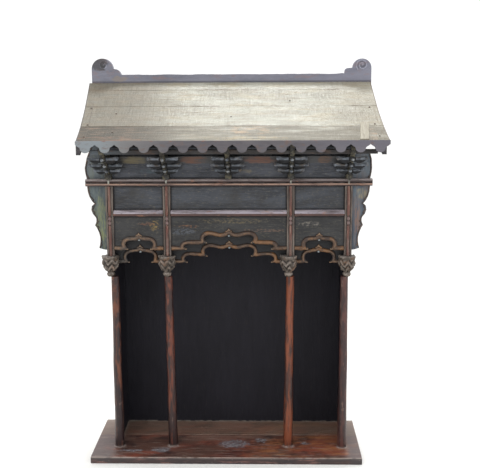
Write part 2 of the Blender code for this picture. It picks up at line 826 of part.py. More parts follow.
def make_ridge(material, parent):
    """The ridge board stands on the walls at the back; each scroll has a raised eye."""
    left = scroll_end(left_scroll_radius, left_step_shares)
    right = scroll_end(right_scroll_radius, right_step_shares)
    outline = right + [(-x, z) for x, z in reversed(left)]
    mesh = prism_y("ridge_board", outline, ridge_front_y, ridge_back_y)
    ridge = place("ridge_board", mesh, material, parent, (ridge_shift, 0.0, 0.0))
    eyes = (
        (-1, left_scroll_radius, left_scroll_eye_in, left_scroll_eye_up),
        (1, right_scroll_radius, right_scroll_eye_in, right_scroll_eye_up),
    )
    for side, radius, inward, up in eyes:
        x = side * (ridge_length / 2 - radius - inward)
        z = ridge_top_z + scroll_centre_height + up
        circle = arc((x, z), (scroll_eye_radius, scroll_eye_radius), 0, 330, 11)
        mesh = prism_y("eye", circle, ridge_front_y - scroll_eye_height, ridge_front_y + 0.004)
        eye = place("ridge_eye", mesh, material, parent, (ridge_shift, 0.0, 0.0))
        eye.hide_render = True
        eye.display_type = "WIRE"
        join = ridge.modifiers.new("eye", "BOOLEAN")
        join.operation = "UNION"
        join.solver = "EXACT"
        join.object = eye


def build():
    clear_scene()
    cabinet = bpy.data.objects.new("cabinet", None)
    bpy.context.scene.collection.objects.link(cabinet)
    cabinet.location = (cabinet_offset, 0.0, 0.0)
    make_base(wood("base_wood", (0.085, 0.032, 0.024), 0.35), None)
    make_walls(wood("interior_lacquer", (0.012, 0.012, 0.015), 0.55), cabinet)
    make_columns(wood("column_lacquer", (0.090, 0.026, 0.018), 0.40), cabinet)
    make_capitals(wood("capital_wood", (0.080, 0.062, 0.050), 0.60), cabinet)
    rail_wood = wood("rail_lacquer", (0.075, 0.035, 0.030), 0.45)
    make_posts(rail_wood, cabinet)
    make_rails(rail_wood, cabinet)
    panel_wood = wood("panel_lacquer", (0.040, 0.044, 0.048), 0.60)
    make_panels(panel_wood, cabinet)
    make_upper_beam(panel_wood, cabinet)
    make_aprons(wood("apron_lacquer", (0.060, 0.045, 0.032), 0.60), cabinet)
    make_wings(wood("wing_paint", (0.075, 0.085, 0.078), 0.65), cabinet)
    make_brackets(wood("bracket_wood", (0.045, 0.046, 0.048), 0.65), cabinet)
    eave_wood = wood("eave_wood", (0.140, 0.138, 0.150), 0.70)
    make_purlin(eave_wood, cabinet)
    make_fascia(eave_wood, cabinet)
    make_ridge(eave_wood, cabinet)
    roof_wood = wood("roof_wood", (0.330, 0.300, 0.245), 0.75)
    make_roof(roof_wood, cabinet)
    make_bargeboards(roof_wood, cabinet)


build()
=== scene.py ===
import math

import bmesh
import bpy
from mathutils import Matrix, Vector, noise


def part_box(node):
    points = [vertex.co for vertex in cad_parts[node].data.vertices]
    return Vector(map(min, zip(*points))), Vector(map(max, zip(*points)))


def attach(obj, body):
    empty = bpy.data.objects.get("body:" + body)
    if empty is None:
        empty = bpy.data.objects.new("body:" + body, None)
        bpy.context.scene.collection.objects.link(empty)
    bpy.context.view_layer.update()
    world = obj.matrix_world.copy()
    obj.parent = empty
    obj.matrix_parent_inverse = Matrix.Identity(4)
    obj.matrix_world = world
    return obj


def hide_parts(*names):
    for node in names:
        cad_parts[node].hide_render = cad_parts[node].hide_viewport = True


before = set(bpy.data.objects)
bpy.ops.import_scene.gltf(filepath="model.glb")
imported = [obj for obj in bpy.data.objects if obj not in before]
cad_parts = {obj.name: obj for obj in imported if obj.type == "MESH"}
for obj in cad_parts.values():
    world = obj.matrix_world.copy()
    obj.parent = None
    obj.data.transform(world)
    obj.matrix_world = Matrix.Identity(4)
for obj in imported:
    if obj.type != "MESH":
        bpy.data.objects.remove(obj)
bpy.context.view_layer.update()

# The view: the shrine as it was photographed, from a little above and to the right of its middle,
# with a lens of about twice the usual length.
view_from = (0.1102, -2.6910, 1.1610)
view_turn = (1.434, 79.937, -0.308)
view = bpy.data.objects.new("view", bpy.data.cameras.new("view"))
view.data.lens = 66.67
view.data.sensor_width = 36
bpy.context.scene.collection.objects.link(view)
yaw, tilt, roll = (math.radians(angle) for angle in view_turn)
turned = Matrix.Rotation(yaw, 4, "Z") @ Matrix.Rotation(tilt, 4, "X") @ Matrix.Rotation(roll, 4, "Z")
view.matrix_world = Matrix.Translation(view_from) @ turned
bpy.context.scene.camera = view


# The studio: a pale floor under a white room, a broad soft light in front and above, a weaker one
# from the right, and one high behind the shrine, which the roof's old polish catches.
def tint(colour):
    """A colour as the eye reads it, 0 to 255, turned into the strength that the shader wants."""
    strengths = []
    for part in colour:
        share = part / 255
        strengths.append(share / 12.92 if share <= 0.04045 else ((share + 0.055) / 1.055) ** 2.4)
    return (*strengths, 1.0)


def soft_light(name, place, aim, width, height, power, colour):
    lamp = bpy.data.objects.new(name, bpy.data.lights.new(name, "AREA"))
    lamp.data.shape = "RECTANGLE"
    lamp.data.size = width
    lamp.data.size_y = height
    lamp.data.energy = power
    lamp.data.color = tint(colour)[:3]
    lamp.location = place
    lamp.rotation_euler = (Vector(aim) - Vector(place)).to_track_quat("-Z", "Y").to_euler()
    bpy.context.scene.collection.objects.link(lamp)


def add(tree, kind, sockets=None, **settings):
    """A shader node of a kind, with its settings and what goes into its sockets."""
    made = tree.nodes.new("ShaderNode" + kind)
    for name, value in settings.items():
        setattr(made, name, value)
    for name, value in (sockets or {}).items():
        if isinstance(value, bpy.types.NodeSocket):
            tree.links.new(value, made.inputs[name])
        else:
            made.inputs[name].default_value = value
    return made


room = bpy.data.worlds.new("room")
room.use_nodes = True
room.node_tree.nodes["Background"].inputs["Color"].default_value = (1.0, 1.0, 1.0, 1.0)
room.node_tree.nodes["Background"].inputs["Strength"].default_value = 1.12
bpy.context.scene.world = room
bpy.context.scene.view_settings.view_transform = "Standard"
soft_light("front_light", (-1.1, -2.6, 2.7), (0.0, -0.1, 0.75), 1.4, 1.0, 24.0, (255, 250, 244))
soft_light("side_light", (2.3, -1.6, 1.6), (0.0, 0.0, 0.7), 0.9, 1.4, 7.0, (244, 248, 255))
soft_light("roof_light", (0.13, 1.02, 3.02), (0.07, 0.04, 1.09), 0.8, 0.5, 44.0, (252, 253, 250))

plaster = bpy.data.materials.new("pale_floor")
plaster.use_nodes = True
clouds = add(plaster.node_tree, "TexNoise", {"Scale": 3.0, "Detail": 4.0})
shades = add(plaster.node_tree, "ValToRGB", {"Fac": clouds.outputs["Fac"]})
shades.color_ramp.elements[0].color = tint((246, 246, 244))
shades.color_ramp.elements[1].color = tint((250, 250, 248))
floor_shader = plaster.node_tree.nodes["Principled BSDF"]
plaster.node_tree.links.new(shades.outputs["Color"], floor_shader.inputs["Base Color"])
floor_shader.inputs["Roughness"].default_value = 0.9
floor_shape = bmesh.new()
bmesh.ops.create_circle(floor_shape, cap_ends=True, segments=64, radius=14.0)
floor_mesh = bpy.data.meshes.new("floor")
floor_shape.to_mesh(floor_mesh)
floor_shape.free()
floor_mesh.materials.append(plaster)
floor = bpy.data.objects.new("floor", floor_mesh)
floor.location = (0.0, 0.0, -0.0005)
bpy.context.scene.collection.objects.link(floor)


# The base: two thick boards side by side under the whole cabinet, nailed up into its walls, lacquered
# red-brown, still glossy between the columns and rubbed grey outside them, with patches of dust.
def effect_group(name, numbers, vectors=()):
    """An empty effect: its tree, and what brings its values in. Its result is one mask."""
    tree = bpy.data.node_groups.new(name, "ShaderNodeTree")
    for label in ("Vector", *vectors):
        tree.interface.new_socket(label, in_out="INPUT", socket_type="NodeSocketVector")
    for label in numbers:
        tree.interface.new_socket(label, in_out="INPUT", socket_type="NodeSocketFloat")
    tree.interface.new_socket("Mask", in_out="OUTPUT", socket_type="NodeSocketFloat")
    tree.nodes.new("NodeGroupOutput")
    return tree, tree.nodes.new("NodeGroupInput").outputs


def put_out(tree, value):
    tree.links.new(value, tree.nodes["Group Output"].inputs["Mask"])
    return tree


def vector_sum(tree, operation, vector, by):
    """A vector worked on by another, part by part."""
    return add(tree, "VectorMath", {0: vector, 1: by}, operation=operation).outputs["Vector"]


def worked(tree, operation, a, b, clamp=True):
    """One sum of two numbers, kept between 0 and 1 where it is a mask."""
    return add(tree, "Math", {0: a, 1: b}, operation=operation, use_clamp=clamp).outputs["Value"]


def between(tree, value, low, high):
    """0 below low, 1 above high and a soft step between them."""
    sockets = {"Value": value, "From Min": low, "From Max": high}
    return add(tree, "MapRange", sockets, interpolation_type="SMOOTHSTEP").outputs["Result"]


def clouds(tree, vector, scale, detail, roughness, distortion=0.0):
    """A cloudy pattern from 0 to 1."""
    sockets = {"Vector": vector, "Scale": scale, "Detail": detail}
    sockets.update({"Roughness": roughness, "Distortion": distortion})
    return add(tree, "TexNoise", sockets).outputs["Fac"]


def make_grain():
    tree, given = effect_group("wood_grain", ("Scale", "Contrast"), ("Stretch",))
    place = vector_sum(tree, "MULTIPLY", given["Vector"], given["Stretch"])
    lifted = worked(tree, "SUBTRACT", clouds(tree, place, given["Scale"], 8.0, 0.62, 0.35), 0.36)
    return put_out(tree, worked(tree, "MULTIPLY", lifted, given["Contrast"]))


def make_patches():
    tree, given = effect_group("worn_patches", ("Scale", "Cover", "Edge"), ("Stretch",))
    place = vector_sum(tree, "MULTIPLY", given["Vector"], given["Stretch"])
    reach = {"Value": given["Cover"], "To Min": 0.72, "To Max": 0.28}
    level = add(tree, "MapRange", reach).outputs["Result"]
    low = worked(tree, "SUBTRACT", level, given["Edge"], clamp=False)
    high = worked(tree, "ADD", level, given["Edge"], clamp=False)
    return put_out(tree, between(tree, clouds(tree, place, given["Scale"], 7.0, 0.66), low, high))


def make_flecks():
    tree, given = effect_group("flecks", ("Scale", "Size", "Share"), ("Stretch",))
    place = vector_sum(tree, "MULTIPLY", given["Vector"], given["Stretch"])
    cells = add(tree, "TexVoronoi", {"Vector": place, "Scale": given["Scale"]}).outputs
    near = worked(tree, "LESS_THAN", cells["Distance"], given["Size"])
    chance = add(tree, "SeparateColor", {"Color": cells["Color"]}).outputs["Red"]
    chosen = worked(tree, "LESS_THAN", chance, given["Share"])
    return put_out(tree, worked(tree, "MULTIPLY", near, chosen))


def make_spot():
    tree, given = effect_group("ragged_spot", ("Ragged",), ("Centre", "Reach"))
    away = vector_sum(tree, "SUBTRACT", given["Vector"], given["Centre"])
    shares = vector_sum(tree, "DIVIDE", away, given["Reach"])
    length = add(tree, "VectorMath", {0: shares}, operation="LENGTH").outputs["Value"]
    shift = worked(tree, "SUBTRACT", clouds(tree, given["Vector"], 75.0, 6.0, 0.7), 0.5, clamp=False)
    push = worked(tree, "MULTIPLY", shift, given["Ragged"], clamp=False)
    return put_out(tree, between(tree, worked(tree, "ADD", length, push, clamp=False), 1.0, 0.6))


def make_dust():
    tree, given = effect_group("settled_dust", ("Amount",))
    normal = add(tree, "NewGeometry").outputs["Normal"]
    facing = between(tree, add(tree, "SeparateXYZ", {"Vector": normal}).outputs["Z"], 0.15, 0.95)
    broken = between(tree, clouds(tree, given["Vector"], 40.0, 8.0, 0.7), 0.34, 0.66)
    lying = worked(tree, "MULTIPLY", facing, broken)
    return put_out(tree, worked(tree, "MULTIPLY", lying, given["Amount"]))


wood_grain = make_grain()
worn_patches = make_patches()
flecks = make_flecks()
ragged_spot = make_spot()
settled_dust = make_dust()


class Finish:
    """A finish that is laid on coat by coat, from the ground colour up."""

    def __init__(self, name, ground, roughness, shine=0.5):
        self.material = bpy.data.materials.new(name)
        self.material.use_nodes = True
        self.tree = self.material.node_tree
        self.shader = self.tree.nodes["Principled BSDF"].inputs
        self.place = add(self.tree, "TexCoord").outputs["Object"]
        self.axes = add(self.tree, "SeparateXYZ", {"Vector": self.place}).outputs
        self.colour = tint(ground)
        self.roughness = roughness
        self.normal = None
        self.shader["Specular IOR Level"].default_value = shine
        self.shader["Base Color"].default_value = self.colour
        self.shader["Roughness"].default_value = roughness

    def effect(self, group, **values):
        """One of the shared effects with its own values, as a mask."""
        made = add(self.tree, "Group", node_tree=group)
        self.tree.links.new(self.place, made.inputs["Vector"])
        for label, value in values.items():
            made.inputs[label].default_value = value
        return made.outputs["Mask"]

    def patches(self, scale, cover, edge, stretch=(1, 1, 1)):
        return self.effect(worn_patches, Stretch=stretch, Scale=scale, Cover=cover, Edge=edge)

    def grain(self, scale, contrast, stretch):
        return self.effect(wood_grain, Stretch=stretch, Scale=scale, Contrast=contrast)

    def spot(self, centre, reach, ragged):
        return self.effect(ragged_spot, Centre=centre, Reach=reach, Ragged=ragged)

    def both(self, *masks):
        """Where all the masks are."""
        mask = masks[0]
        for other in masks[1:]:
            mask = worked(self.tree, "MULTIPLY", mask, other)
        return mask

    def either(self, a, b):
        return worked(self.tree, "MAXIMUM", a, b)

    def along(self, axis, low, high):
        """A mask that rises from 0 at low to 1 at high along one axis."""
        return between(self.tree, self.axes[axis], low, high)

    def band(self, axis, start, full, end, fade):
        """A mask between two places on one axis, soft on both sides."""
        return self.both(self.along(axis, start, full), self.along(axis, end, fade))

    def raised(self, low, high):
        """A mask from the raised value that its mesh gives point by point: how far the carving stands up,
        or where its light and shade are painted.
        """
        carved = add(self.tree, "Attribute", attribute_name="raised").outputs["Fac"]
        return between(self.tree, carved, low, high)

    def coat(self, mask, colour, share=1.0, roughness=None):
        """A coat of colour where the mask is, or where all of several masks are."""
        if isinstance(mask, tuple):
            mask = self.both(*mask)
        if share < 1.0:
            mask = self.both(mask, share)
        mix = {0: mask, 6: self.colour, 7: tint(colour)}
        self.colour = add(self.tree, "Mix", mix, data_type="RGBA").outputs[2]
        self.tree.links.new(self.colour, self.shader["Base Color"])
        if roughness is not None:
            self.roughness = add(self.tree, "Mix", {0: mask, 2: self.roughness, 3: roughness}).outputs[0]
            self.tree.links.new(self.roughness, self.shader["Roughness"])
        return self

    def relief(self, height, depth):
        bump = add(self.tree, "Bump", {"Height": height, "Distance": depth, "Strength": 1.0})
        if self.normal:
            self.tree.links.new(self.normal, bump.inputs["Normal"])
        self.normal = bump.outputs["Normal"]
        self.tree.links.new(self.normal, self.shader["Normal"])
        return self


def close_rows(shape, rows):
    """Joins rows of corners, each with as many, into one closed skin."""
    count = len(rows[0])
    for row, after in zip(rows, rows[1:]):
        for i in range(count):
            j = (i + 1) % count
            shape.faces.new((row[i], row[j], after[j], after[i]))
    shape.faces.new(rows[0][::-1])
    shape.faces.new(rows[-1])


def skin(rings, shape=None):
    """One closed skin over a row of rings."""
    shape = shape or bmesh.new()
    close_rows(shape, [[shape.verts.new(point) for point in ring] for ring in rings])
    return shape


def shrine_piece(name, shape, finish, stands_for=(), sharp=38):
    """Sets a shape in the shrine as one piece, which stands for the named solids of the frame."""
    bmesh.ops.recalc_face_normals(shape, faces=shape.faces)
    mesh = bpy.data.meshes.new(name)
    shape.to_mesh(mesh)
    shape.free()
    mesh.shade_smooth()
    mesh.set_sharp_from_angle(angle=math.radians(sharp))
    mesh.materials.append(finish.material)
    piece = bpy.data.objects.new(name, mesh)
    bpy.context.scene.collection.objects.link(piece)
    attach(piece, "root")
    if stands_for:
        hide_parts(*stands_for)
    return piece


def bow(centre, radius, first, last, steps):
    """Points on a circle's arc, both ends included; angles in degrees."""
    angles = [math.radians(first + (last - first) * i / steps) for i in range(steps + 1)]
    return [(centre[0] + radius * math.cos(a), centre[1] + radius * math.sin(a)) for a in angles]


# The unevenness comes from a fixed seed, so that it is the same at each run.
noise.seed_set(5)


def hand_planed(outline, start, end, stations, uneven, end_round=0.0012, level=False):
    """Rings of a long board that runs along x, as uneven as a hand plane leaves it."""
    ys = [y for y, z in outline]
    zs = [z for y, z in outline]
    middle_y = sum(ys) / len(ys)
    middle_z = sum(zs) / len(zs)
    places = [start, start + end_round]
    places += [start + (end - start) * i / stations for i in range(1, stations)]
    places += [end - end_round, end]
    rings = []
    for i, x in enumerate(places):
        shrink = end_round if i in (0, len(places) - 1) else 0.0
        ring = []
        for y, z in outline:
            stray = noise.noise_vector(Vector((x * 9.0, y * 40.0, z * 40.0))) * uneven
            inward = Vector((0.0, middle_y - y, middle_z - z)).normalized() * shrink
            new_y = min(max(ys), max(min(ys), y + stray.y + inward.y))
            new_z = min(max(zs), max(min(zs), z + (0.0 if level else stray.z) + inward.z))
            ring.append((x, new_y, new_z))
        rings.append(ring)
    return rings


base_round = 0.0042
base_lacquer = Finish("base_lacquer", (100, 72, 62), 0.34)
grain = base_lacquer.grain(7, 2.6, (1, 9, 9))
fine = base_lacquer.grain(24, 2.8, (1, 12, 12))
# Painted light: the base is paler towards the back, under the cabinet, where the roof and the aprons shade
# it.
base_lacquer.coat(base_lacquer.along("Y", -0.055, 0.020), (152, 118, 104), 0.8)
base_lacquer.coat(grain, (66, 44, 40), 0.7).coat(fine, (58, 42, 40), 0.45)
base_lacquer.coat(base_lacquer.patches(5, 0.46, 0.10, (1, 2.6, 2.6)), (140, 70, 52), 0.66)
amber = base_lacquer.patches(7, 0.36, 0.10, (1, 4, 4))
amber = base_lacquer.both(amber, base_lacquer.along("X", 0.02, 0.16))
base_lacquer.coat(amber, (168, 116, 74), 0.6)
base_lacquer.coat(base_lacquer.patches(13, 0.36, 0.10, (1, 2, 2)), (34, 27, 30), 0.72, 0.45)
outside_right = base_lacquer.along("X", 0.366, 0.385)
outside = base_lacquer.either(outside_right, base_lacquer.along("X", -0.346, -0.362))
cloud = base_lacquer.patches(9, 0.90, 0.20, (1, 2, 2))
base_lacquer.coat((outside, cloud), (108, 98, 97), 0.88, 0.62)
rubbed = base_lacquer.patches(14, 0.30, 0.05, (1, 7, 7))
base_lacquer.coat(rubbed, (150, 134, 126), 0.45, 0.6)
powder = base_lacquer.patches(85, 0.58, 0.10)
dusty = (
    ((0.022, -0.046, 0.019), (0.052, 0.036, 0.02), 1.6),
    ((0.105, -0.018, 0.019), (0.022, 0.020, 0.02), 1.8),
    ((-0.205, -0.094, 0.019), (0.030, 0.022, 0.02), 2.0),
    ((-0.296, -0.100, 0.019), (0.040, 0.010, 0.02), 2.6),
    ((0.245, -0.040, 0.019), (0.020, 0.010, 0.02), 2.6),
)
grit = base_lacquer.patches(150, 0.46, 0.10, (1, 1.3, 1))
for centre, reach, ragged in dusty:
    patch = base_lacquer.spot(centre, reach, ragged)
    base_lacquer.coat(patch, (84, 82, 88), 0.40, 0.6)
    base_lacquer.coat((patch, powder), (152, 152, 158), 0.62, 0.85)
    base_lacquer.coat((patch, grit), (62, 56, 60), 0.7, 0.8)
crumbs = base_lacquer.patches(42, 0.66, 0.12)
uprights = ("outer_left", "inner_left", "inner_right", "outer_right")
for name in uprights:
    low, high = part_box("column_" + name)
    ring = base_lacquer.spot(((low.x + high.x) / 2, low.y + 0.009, 0.019), (0.023, 0.020, 0.02), 0.7)
    base_lacquer.coat((ring, crumbs), (150, 142, 138), 0.7, 0.8)
lip_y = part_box("base_front_board")[0].y
# The rounded front lip is pale in broken patches, partly rubbed wear and partly a painted highlight along
# the edge.
lip = base_lacquer.along("Y", lip_y + 0.0080, lip_y + 0.0035)
base_lacquer.coat((lip, base_lacquer.along("Z", 0.0130, 0.0165), crumbs), (178, 164, 154), 0.8, 0.5)
face = base_lacquer.along("Y", lip_y + 0.0030, lip_y + 0.0008)
base_lacquer.coat(face, (44, 37, 39), 0.85, 0.5)
base_lacquer.coat((face, rubbed), (124, 84, 76), 0.6)
low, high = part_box("back_panel")
back_foot = base_lacquer.along("Y", low.y - 0.012, low.y - 0.002)
low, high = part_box("left_side_panel")
side_foot = base_lacquer.band("X", high.x + 0.012, high.x + 0.002, low.x - 0.002, low.x)
side_foot = base_lacquer.both(side_foot, base_lacquer.along("Y", low.y - 0.02, low.y + 0.01))
foot_dust = base_lacquer.either(back_foot, side_foot)
base_lacquer.coat((foot_dust, crumbs), (158, 150, 142), 0.7, 0.8)
seam_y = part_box("base_front_board")[1].y
seam = base_lacquer.band("Y", seam_y - 0.0045, seam_y - 0.0025, seam_y + 0.0015, seam_y + 0.0005)
base_lacquer.coat((seam, crumbs), (150, 132, 116), 0.7, 0.7)
base_lacquer.coat(base_lacquer.along("Y", seam_y - 0.001, seam_y + 0.004), (126, 108, 94), 0.50, 0.5)
specks = base_lacquer.effect(flecks, Stretch=(1.0, 1.6, 1.0), Scale=210.0, Size=0.22, Share=0.10)
base_lacquer.coat(specks, (156, 148, 142), 0.6, 0.8)
base_lacquer.relief(grain, 0.0006).relief(rubbed, -0.0004)

low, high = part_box("base_front_board")
outline = [(high.y, low.z), (high.y, high.z - 0.0008), (high.y - 0.0008, high.z)]
outline += bow((low.y + base_round, high.z - base_round), base_round, 90, 180, 5)
outline.append((low.y, low.z))
rings = hand_planed(outline, low.x, high.x, 70, 0.0010, level=True)
shrine_piece("base_front", skin(rings), base_lacquer, ["base_front_board"])
low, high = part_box("base_rear_board")
outline = [(low.y, low.z), (low.y, high.z - 0.0008), (low.y + 0.0008, high.z), (high.y - 0.001, high.z)]
outline += [(high.y, high.z - 0.001), (high.y, low.z)]
rings = hand_planed(outline, low.x, high.x, 70, 0.0006, level=True)
shrine_piece("base_rear", skin(rings), base_lacquer, ["base_rear_board"])


# The cabinet: side walls and a back of thin boards that stand on the base, lacquered near black
# inside, where dust lies along their feet, and left darker and rougher outside.
def refinish(finish, *names):
    for name in names:
        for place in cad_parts[name].material_slots:
            place.material = finish.material


soot = Finish("interior_lacquer", (30, 29, 35), 0.55, 0.16)
grain = soot.grain(9, 2.4, (6, 6, 1))
soot.coat(grain, (19, 18, 23), 0.7)
haze = soot.patches(6, 0.5, 0.25, (1, 1, 0.7))
soot.coat(haze, (40, 39, 46), 0.5, 0.7)
scuffs = soot.patches(12, 0.22, 0.03, (14, 14, 1.5))
soot.coat(scuffs, (52, 48, 48), 0.30, 0.7)
low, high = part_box("left_side_panel")
outer = soot.along("X", low.x + 0.002, low.x + 0.0005)
low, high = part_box("right_side_panel")
outer = soot.either(outer, soot.along("X", high.x - 0.002, high.x - 0.0005))
outer = soot.either(outer, soot.along("Y", high.y - 0.002, high.y - 0.0005))
boards = soot.patches(7, 0.45, 0.16, (3, 3, 0.5))
soot.coat(outer, (70, 52, 46), 0.85, 0.6).coat(soot.both(outer, boards), (96, 74, 62), 0.7, 0.7)
soot.coat((outer, scuffs), (112, 96, 84), 0.35, 0.7)
behind = soot.along("Y", high.y - 0.002, high.y - 0.0005)
for joint_x in (-0.222, -0.048, 0.152):
    gap = soot.band("X", joint_x - 0.0016, joint_x - 0.0006, joint_x + 0.0016, joint_x + 0.0006)
    soot.coat((outer, gap, behind), (26, 20, 19), 0.9)
crumbs = soot.patches(60, 0.55, 0.08)
soot.coat((soot.along("Z", 0.0235, 0.0195), crumbs), (136, 128, 120), 0.7, 0.9)
soot.relief(grain, 0.0007).relief(haze, 0.0006)
refinish(soot, "left_side_panel", "right_side_panel", "back_panel")


# The columns: four round shafts, shaved rather than turned, tenoned into the base and the capitals,
# in dark red lacquer that hands have worn to orange and bare wood in long streaks.
def shaft_lacquer(name, ground, streak, worn, cover, pale):
    coat = Finish(name, ground, 0.32, 0.40)
    run = coat.grain(8, 2.6, (9, 9, 1))
    coat.coat(run, streak, 0.8)
    bare = coat.patches(7, cover, 0.07, (9, 9, 1))
    coat.coat(bare, worn, 0.85, 0.46)
    coat.coat(coat.patches(11, 0.38, 0.05, (7, 7, 1)), (34, 26, 27), 0.7, 0.3)
    coat.coat(coat.patches(110, pale, 0.04, (1, 1, 0.35)), (122, 98, 88), 0.55, 0.6)
    rubbed_through = coat.patches(75, 0.42, 0.08, (1, 1, 0.30))
    coat.coat((rubbed_through, coat.along("Z", 0.20, 0.34)), worn, 0.75, 0.5)
    coat.coat(coat.along("Z", 0.024, 0.0195), (120, 110, 104), 0.5, 0.9)
    coat.relief(run, 0.0009).relief(bare, -0.0004)
    return coat


shafts = {
    "outer_left": shaft_lacquer("lacquer_column_1", (50, 35, 35), (30, 22, 24), (112, 66, 46), 0.30, 0.18),
    "inner_left": shaft_lacquer("lacquer_column_2", (52, 34, 32), (30, 22, 24), (114, 60, 42), 0.34, 0.18),
    "inner_right": shaft_lacquer("lacquer_column_3", (66, 38, 31), (35, 23, 23), (126, 66, 40), 0.50, 0.18),
    "outer_right": shaft_lacquer("lacquer_column_4", (54, 36, 36), (32, 23, 25), (88, 54, 48), 0.40, 0.26),
}
shaft_rows = 72
shaft_sides = 28
for seed, (name, lacquer) in enumerate(shafts.items()):
    points = [vertex.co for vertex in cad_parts["column_" + name].data.vertices]
    ends = []
    for end_z in (min(p.z for p in points), max(p.z for p in points)):
        ring = [p for p in points if abs(p.z - end_z) < 0.0005]
        centre = sum(ring, Vector()) / len(ring)
        ends.append((centre, (ring[0] - centre).length))
    (foot, foot_radius), (head, head_radius) = ends
    rings = []
    for level in range(shaft_rows + 1):
        share = level / shaft_rows
        centre = foot.lerp(head, share)
        z = centre.z
        bend = 0.0022 * math.sin(math.pi * share) ** 0.5
        drift = noise.noise_vector(Vector((seed * 7.3, 1.0, z * 7.0))) * bend
        centre = centre + Vector((drift.x, -abs(drift.y), 0.0))
        swell = 0.6 * (1.0 - share) ** 3 + 0.4 * (1.0 - share)
        radius = head_radius + (foot_radius - head_radius) * swell
        ring = []
        for i in range(shaft_sides):
            angle = math.tau * i / shaft_sides
            side = Vector((math.cos(angle), math.sin(angle), 0.0))
            hewn = noise.noise(Vector((side.x * 1.4 + seed, side.y * 1.4, z * 14.0))) * 0.0007
            hewn += noise.noise(Vector((side.x * 3.0, side.y * 3.0 + seed, z * 60.0))) * 0.00025
            ring.append(centre + side * (radius + hewn))
        rings.append(ring)
    shrine_piece("shaft_" + name, skin(rings), lacquer, ["column_" + name])


# The capitals: four cups carved with rows of pointed leaves under a flared lip, each on a small
# turned ring and cut flat behind, bare grey-brown wood with painted shade in the hollows and pale rubbed
# edges.
def raised_layer(shape):
    return shape.verts.layers.float.get("raised") or shape.verts.layers.float.new("raised")


carved_wood = Finish("carved_capital_wood", (66, 59, 52), 0.5, 0.35)
mottle = carved_wood.patches(55, 0.5, 0.10)
carved_wood.coat(mottle, (92, 82, 74), 0.7)
carved_wood.coat(carved_wood.patches(40, 0.34, 0.06), (104, 74, 52), 0.7)
# Painted shade: near black where the carving is low, in the hollows between the leaves.
carved_wood.coat(carved_wood.raised(0.45, 0.12), (20, 17, 17), 0.9, 0.7)
crest = carved_wood.both(carved_wood.raised(0.70, 0.95), mottle)
carved_wood.coat(crest, (152, 142, 134), 0.52, 0.4)
carved_wood.coat(carved_wood.effect(settled_dust, Amount=0.7), (160, 154, 150), 1.0, 0.8)
carved_wood.relief(mottle, 0.0006)

leaves = 6
leaf_depth = 0.0060
lip_share = 0.80
ring_share = 0.2154
ring_radius = 0.0118
ring_rows = 14
cup_rows = 46
cup_sides = 96
cup_profile = (
    (0.0, 0.42), (0.14, 0.66), (0.34, 0.88), (0.56, 0.96),
    (0.74, 0.94), (0.84, 1.0), (0.93, 1.04), (1.0, 0.99),
)
ring_profile = ((0.0, 0.80), (0.22, 0.92), (0.40, 1.06), (0.62, 1.06), (0.82, 0.88), (1.0, 0.80))


def read_off(profile, share):
    """A profile's value at a share of its height."""
    for (low_share, low_value), (high_share, high_value) in zip(profile, profile[1:]):
        if share <= high_share:
            part = (share - low_share) / (high_share - low_share)
            part = part * part * (3 - 2 * part)
            return low_value + (high_value - low_value) * part
    return profile[-1][1]


def fold(value):
    """A zigzag that runs from 0 up to 1 and back for each whole number."""
    part = value % 1.0
    return 1.0 - abs(2.0 * part - 1.0)


for seed, name in enumerate(uprights):
    low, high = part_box("capital_" + name)
    centre_x = (low.x + high.x) / 2
    radius = (high.x - low.x) / 2
    centre_y = low.y + radius
    cup_low = low.z + ring_share * (high.z - low.z)
    shape = bmesh.new()
    layer = raised_layer(shape)
    rows = []
    for level in range(ring_rows + cup_rows):
        row = []
        in_ring = level < ring_rows
        share = level / (ring_rows - 1) if in_ring else (level - ring_rows) / (cup_rows - 1)
        z = low.z + (cup_low - low.z) * share if in_ring else cup_low + (high.z - cup_low) * share
        for i in range(cup_sides):
            angle = math.tau * i / cup_sides
            around = Vector((math.cos(angle), math.sin(angle), 0.0))
            height = 0.7
            lift = 0.0
            if in_ring:
                reach = ring_radius * read_off(ring_profile, share)
                height = 0.5 + 0.5 * read_off(ring_profile, share) ** 6
            else:
                reach = radius * 0.93 * read_off(cup_profile, share)
                zigzag = fold(leaves * (angle + 0.25 * math.pi + 0.10 * (seed - 1)) / math.tau)
                if share < lip_share:
                    wander = noise.noise(around * 1.6 + Vector((seed, 0.0, share * 2.0)))
                    band = share * 2.5 + 0.75 * (1.0 - zigzag) + 0.12 * seed + 0.34 * wander
                    crest = 0.5 + 0.5 * math.cos(math.tau * band)
                    height = 0.14 + 0.86 * crest ** 0.9
                    reach += (height - 0.60) * leaf_depth * math.sin(math.pi * share / lip_share) ** 0.5
                else:
                    wave = math.cos(leaves * angle + 0.9 * seed)
                    up = (share - lip_share) / (1.0 - lip_share)
                    reach += 0.0013 * wave * up
                    height = 0.55 + 0.45 * up
                    lift = 0.0012 * (wave - 1.0) * up
            rough = noise.noise(around * 3.0 + Vector((seed * 5.0, 0.0, z * 160.0)))
            reach += rough * 0.0011
            y = min(centre_y + reach * around.y, high.y)
            vertex = shape.verts.new((centre_x + reach * around.x, y, z + lift))
            vertex[layer] = max(0.0, min(1.0, height + 0.25 * rough))
            row.append(vertex)
        rows.append(row)
    close_rows(shape, rows)
    shrine_piece("carved_capital_" + name, shape, carved_wood, ["capital_" + name], 60)


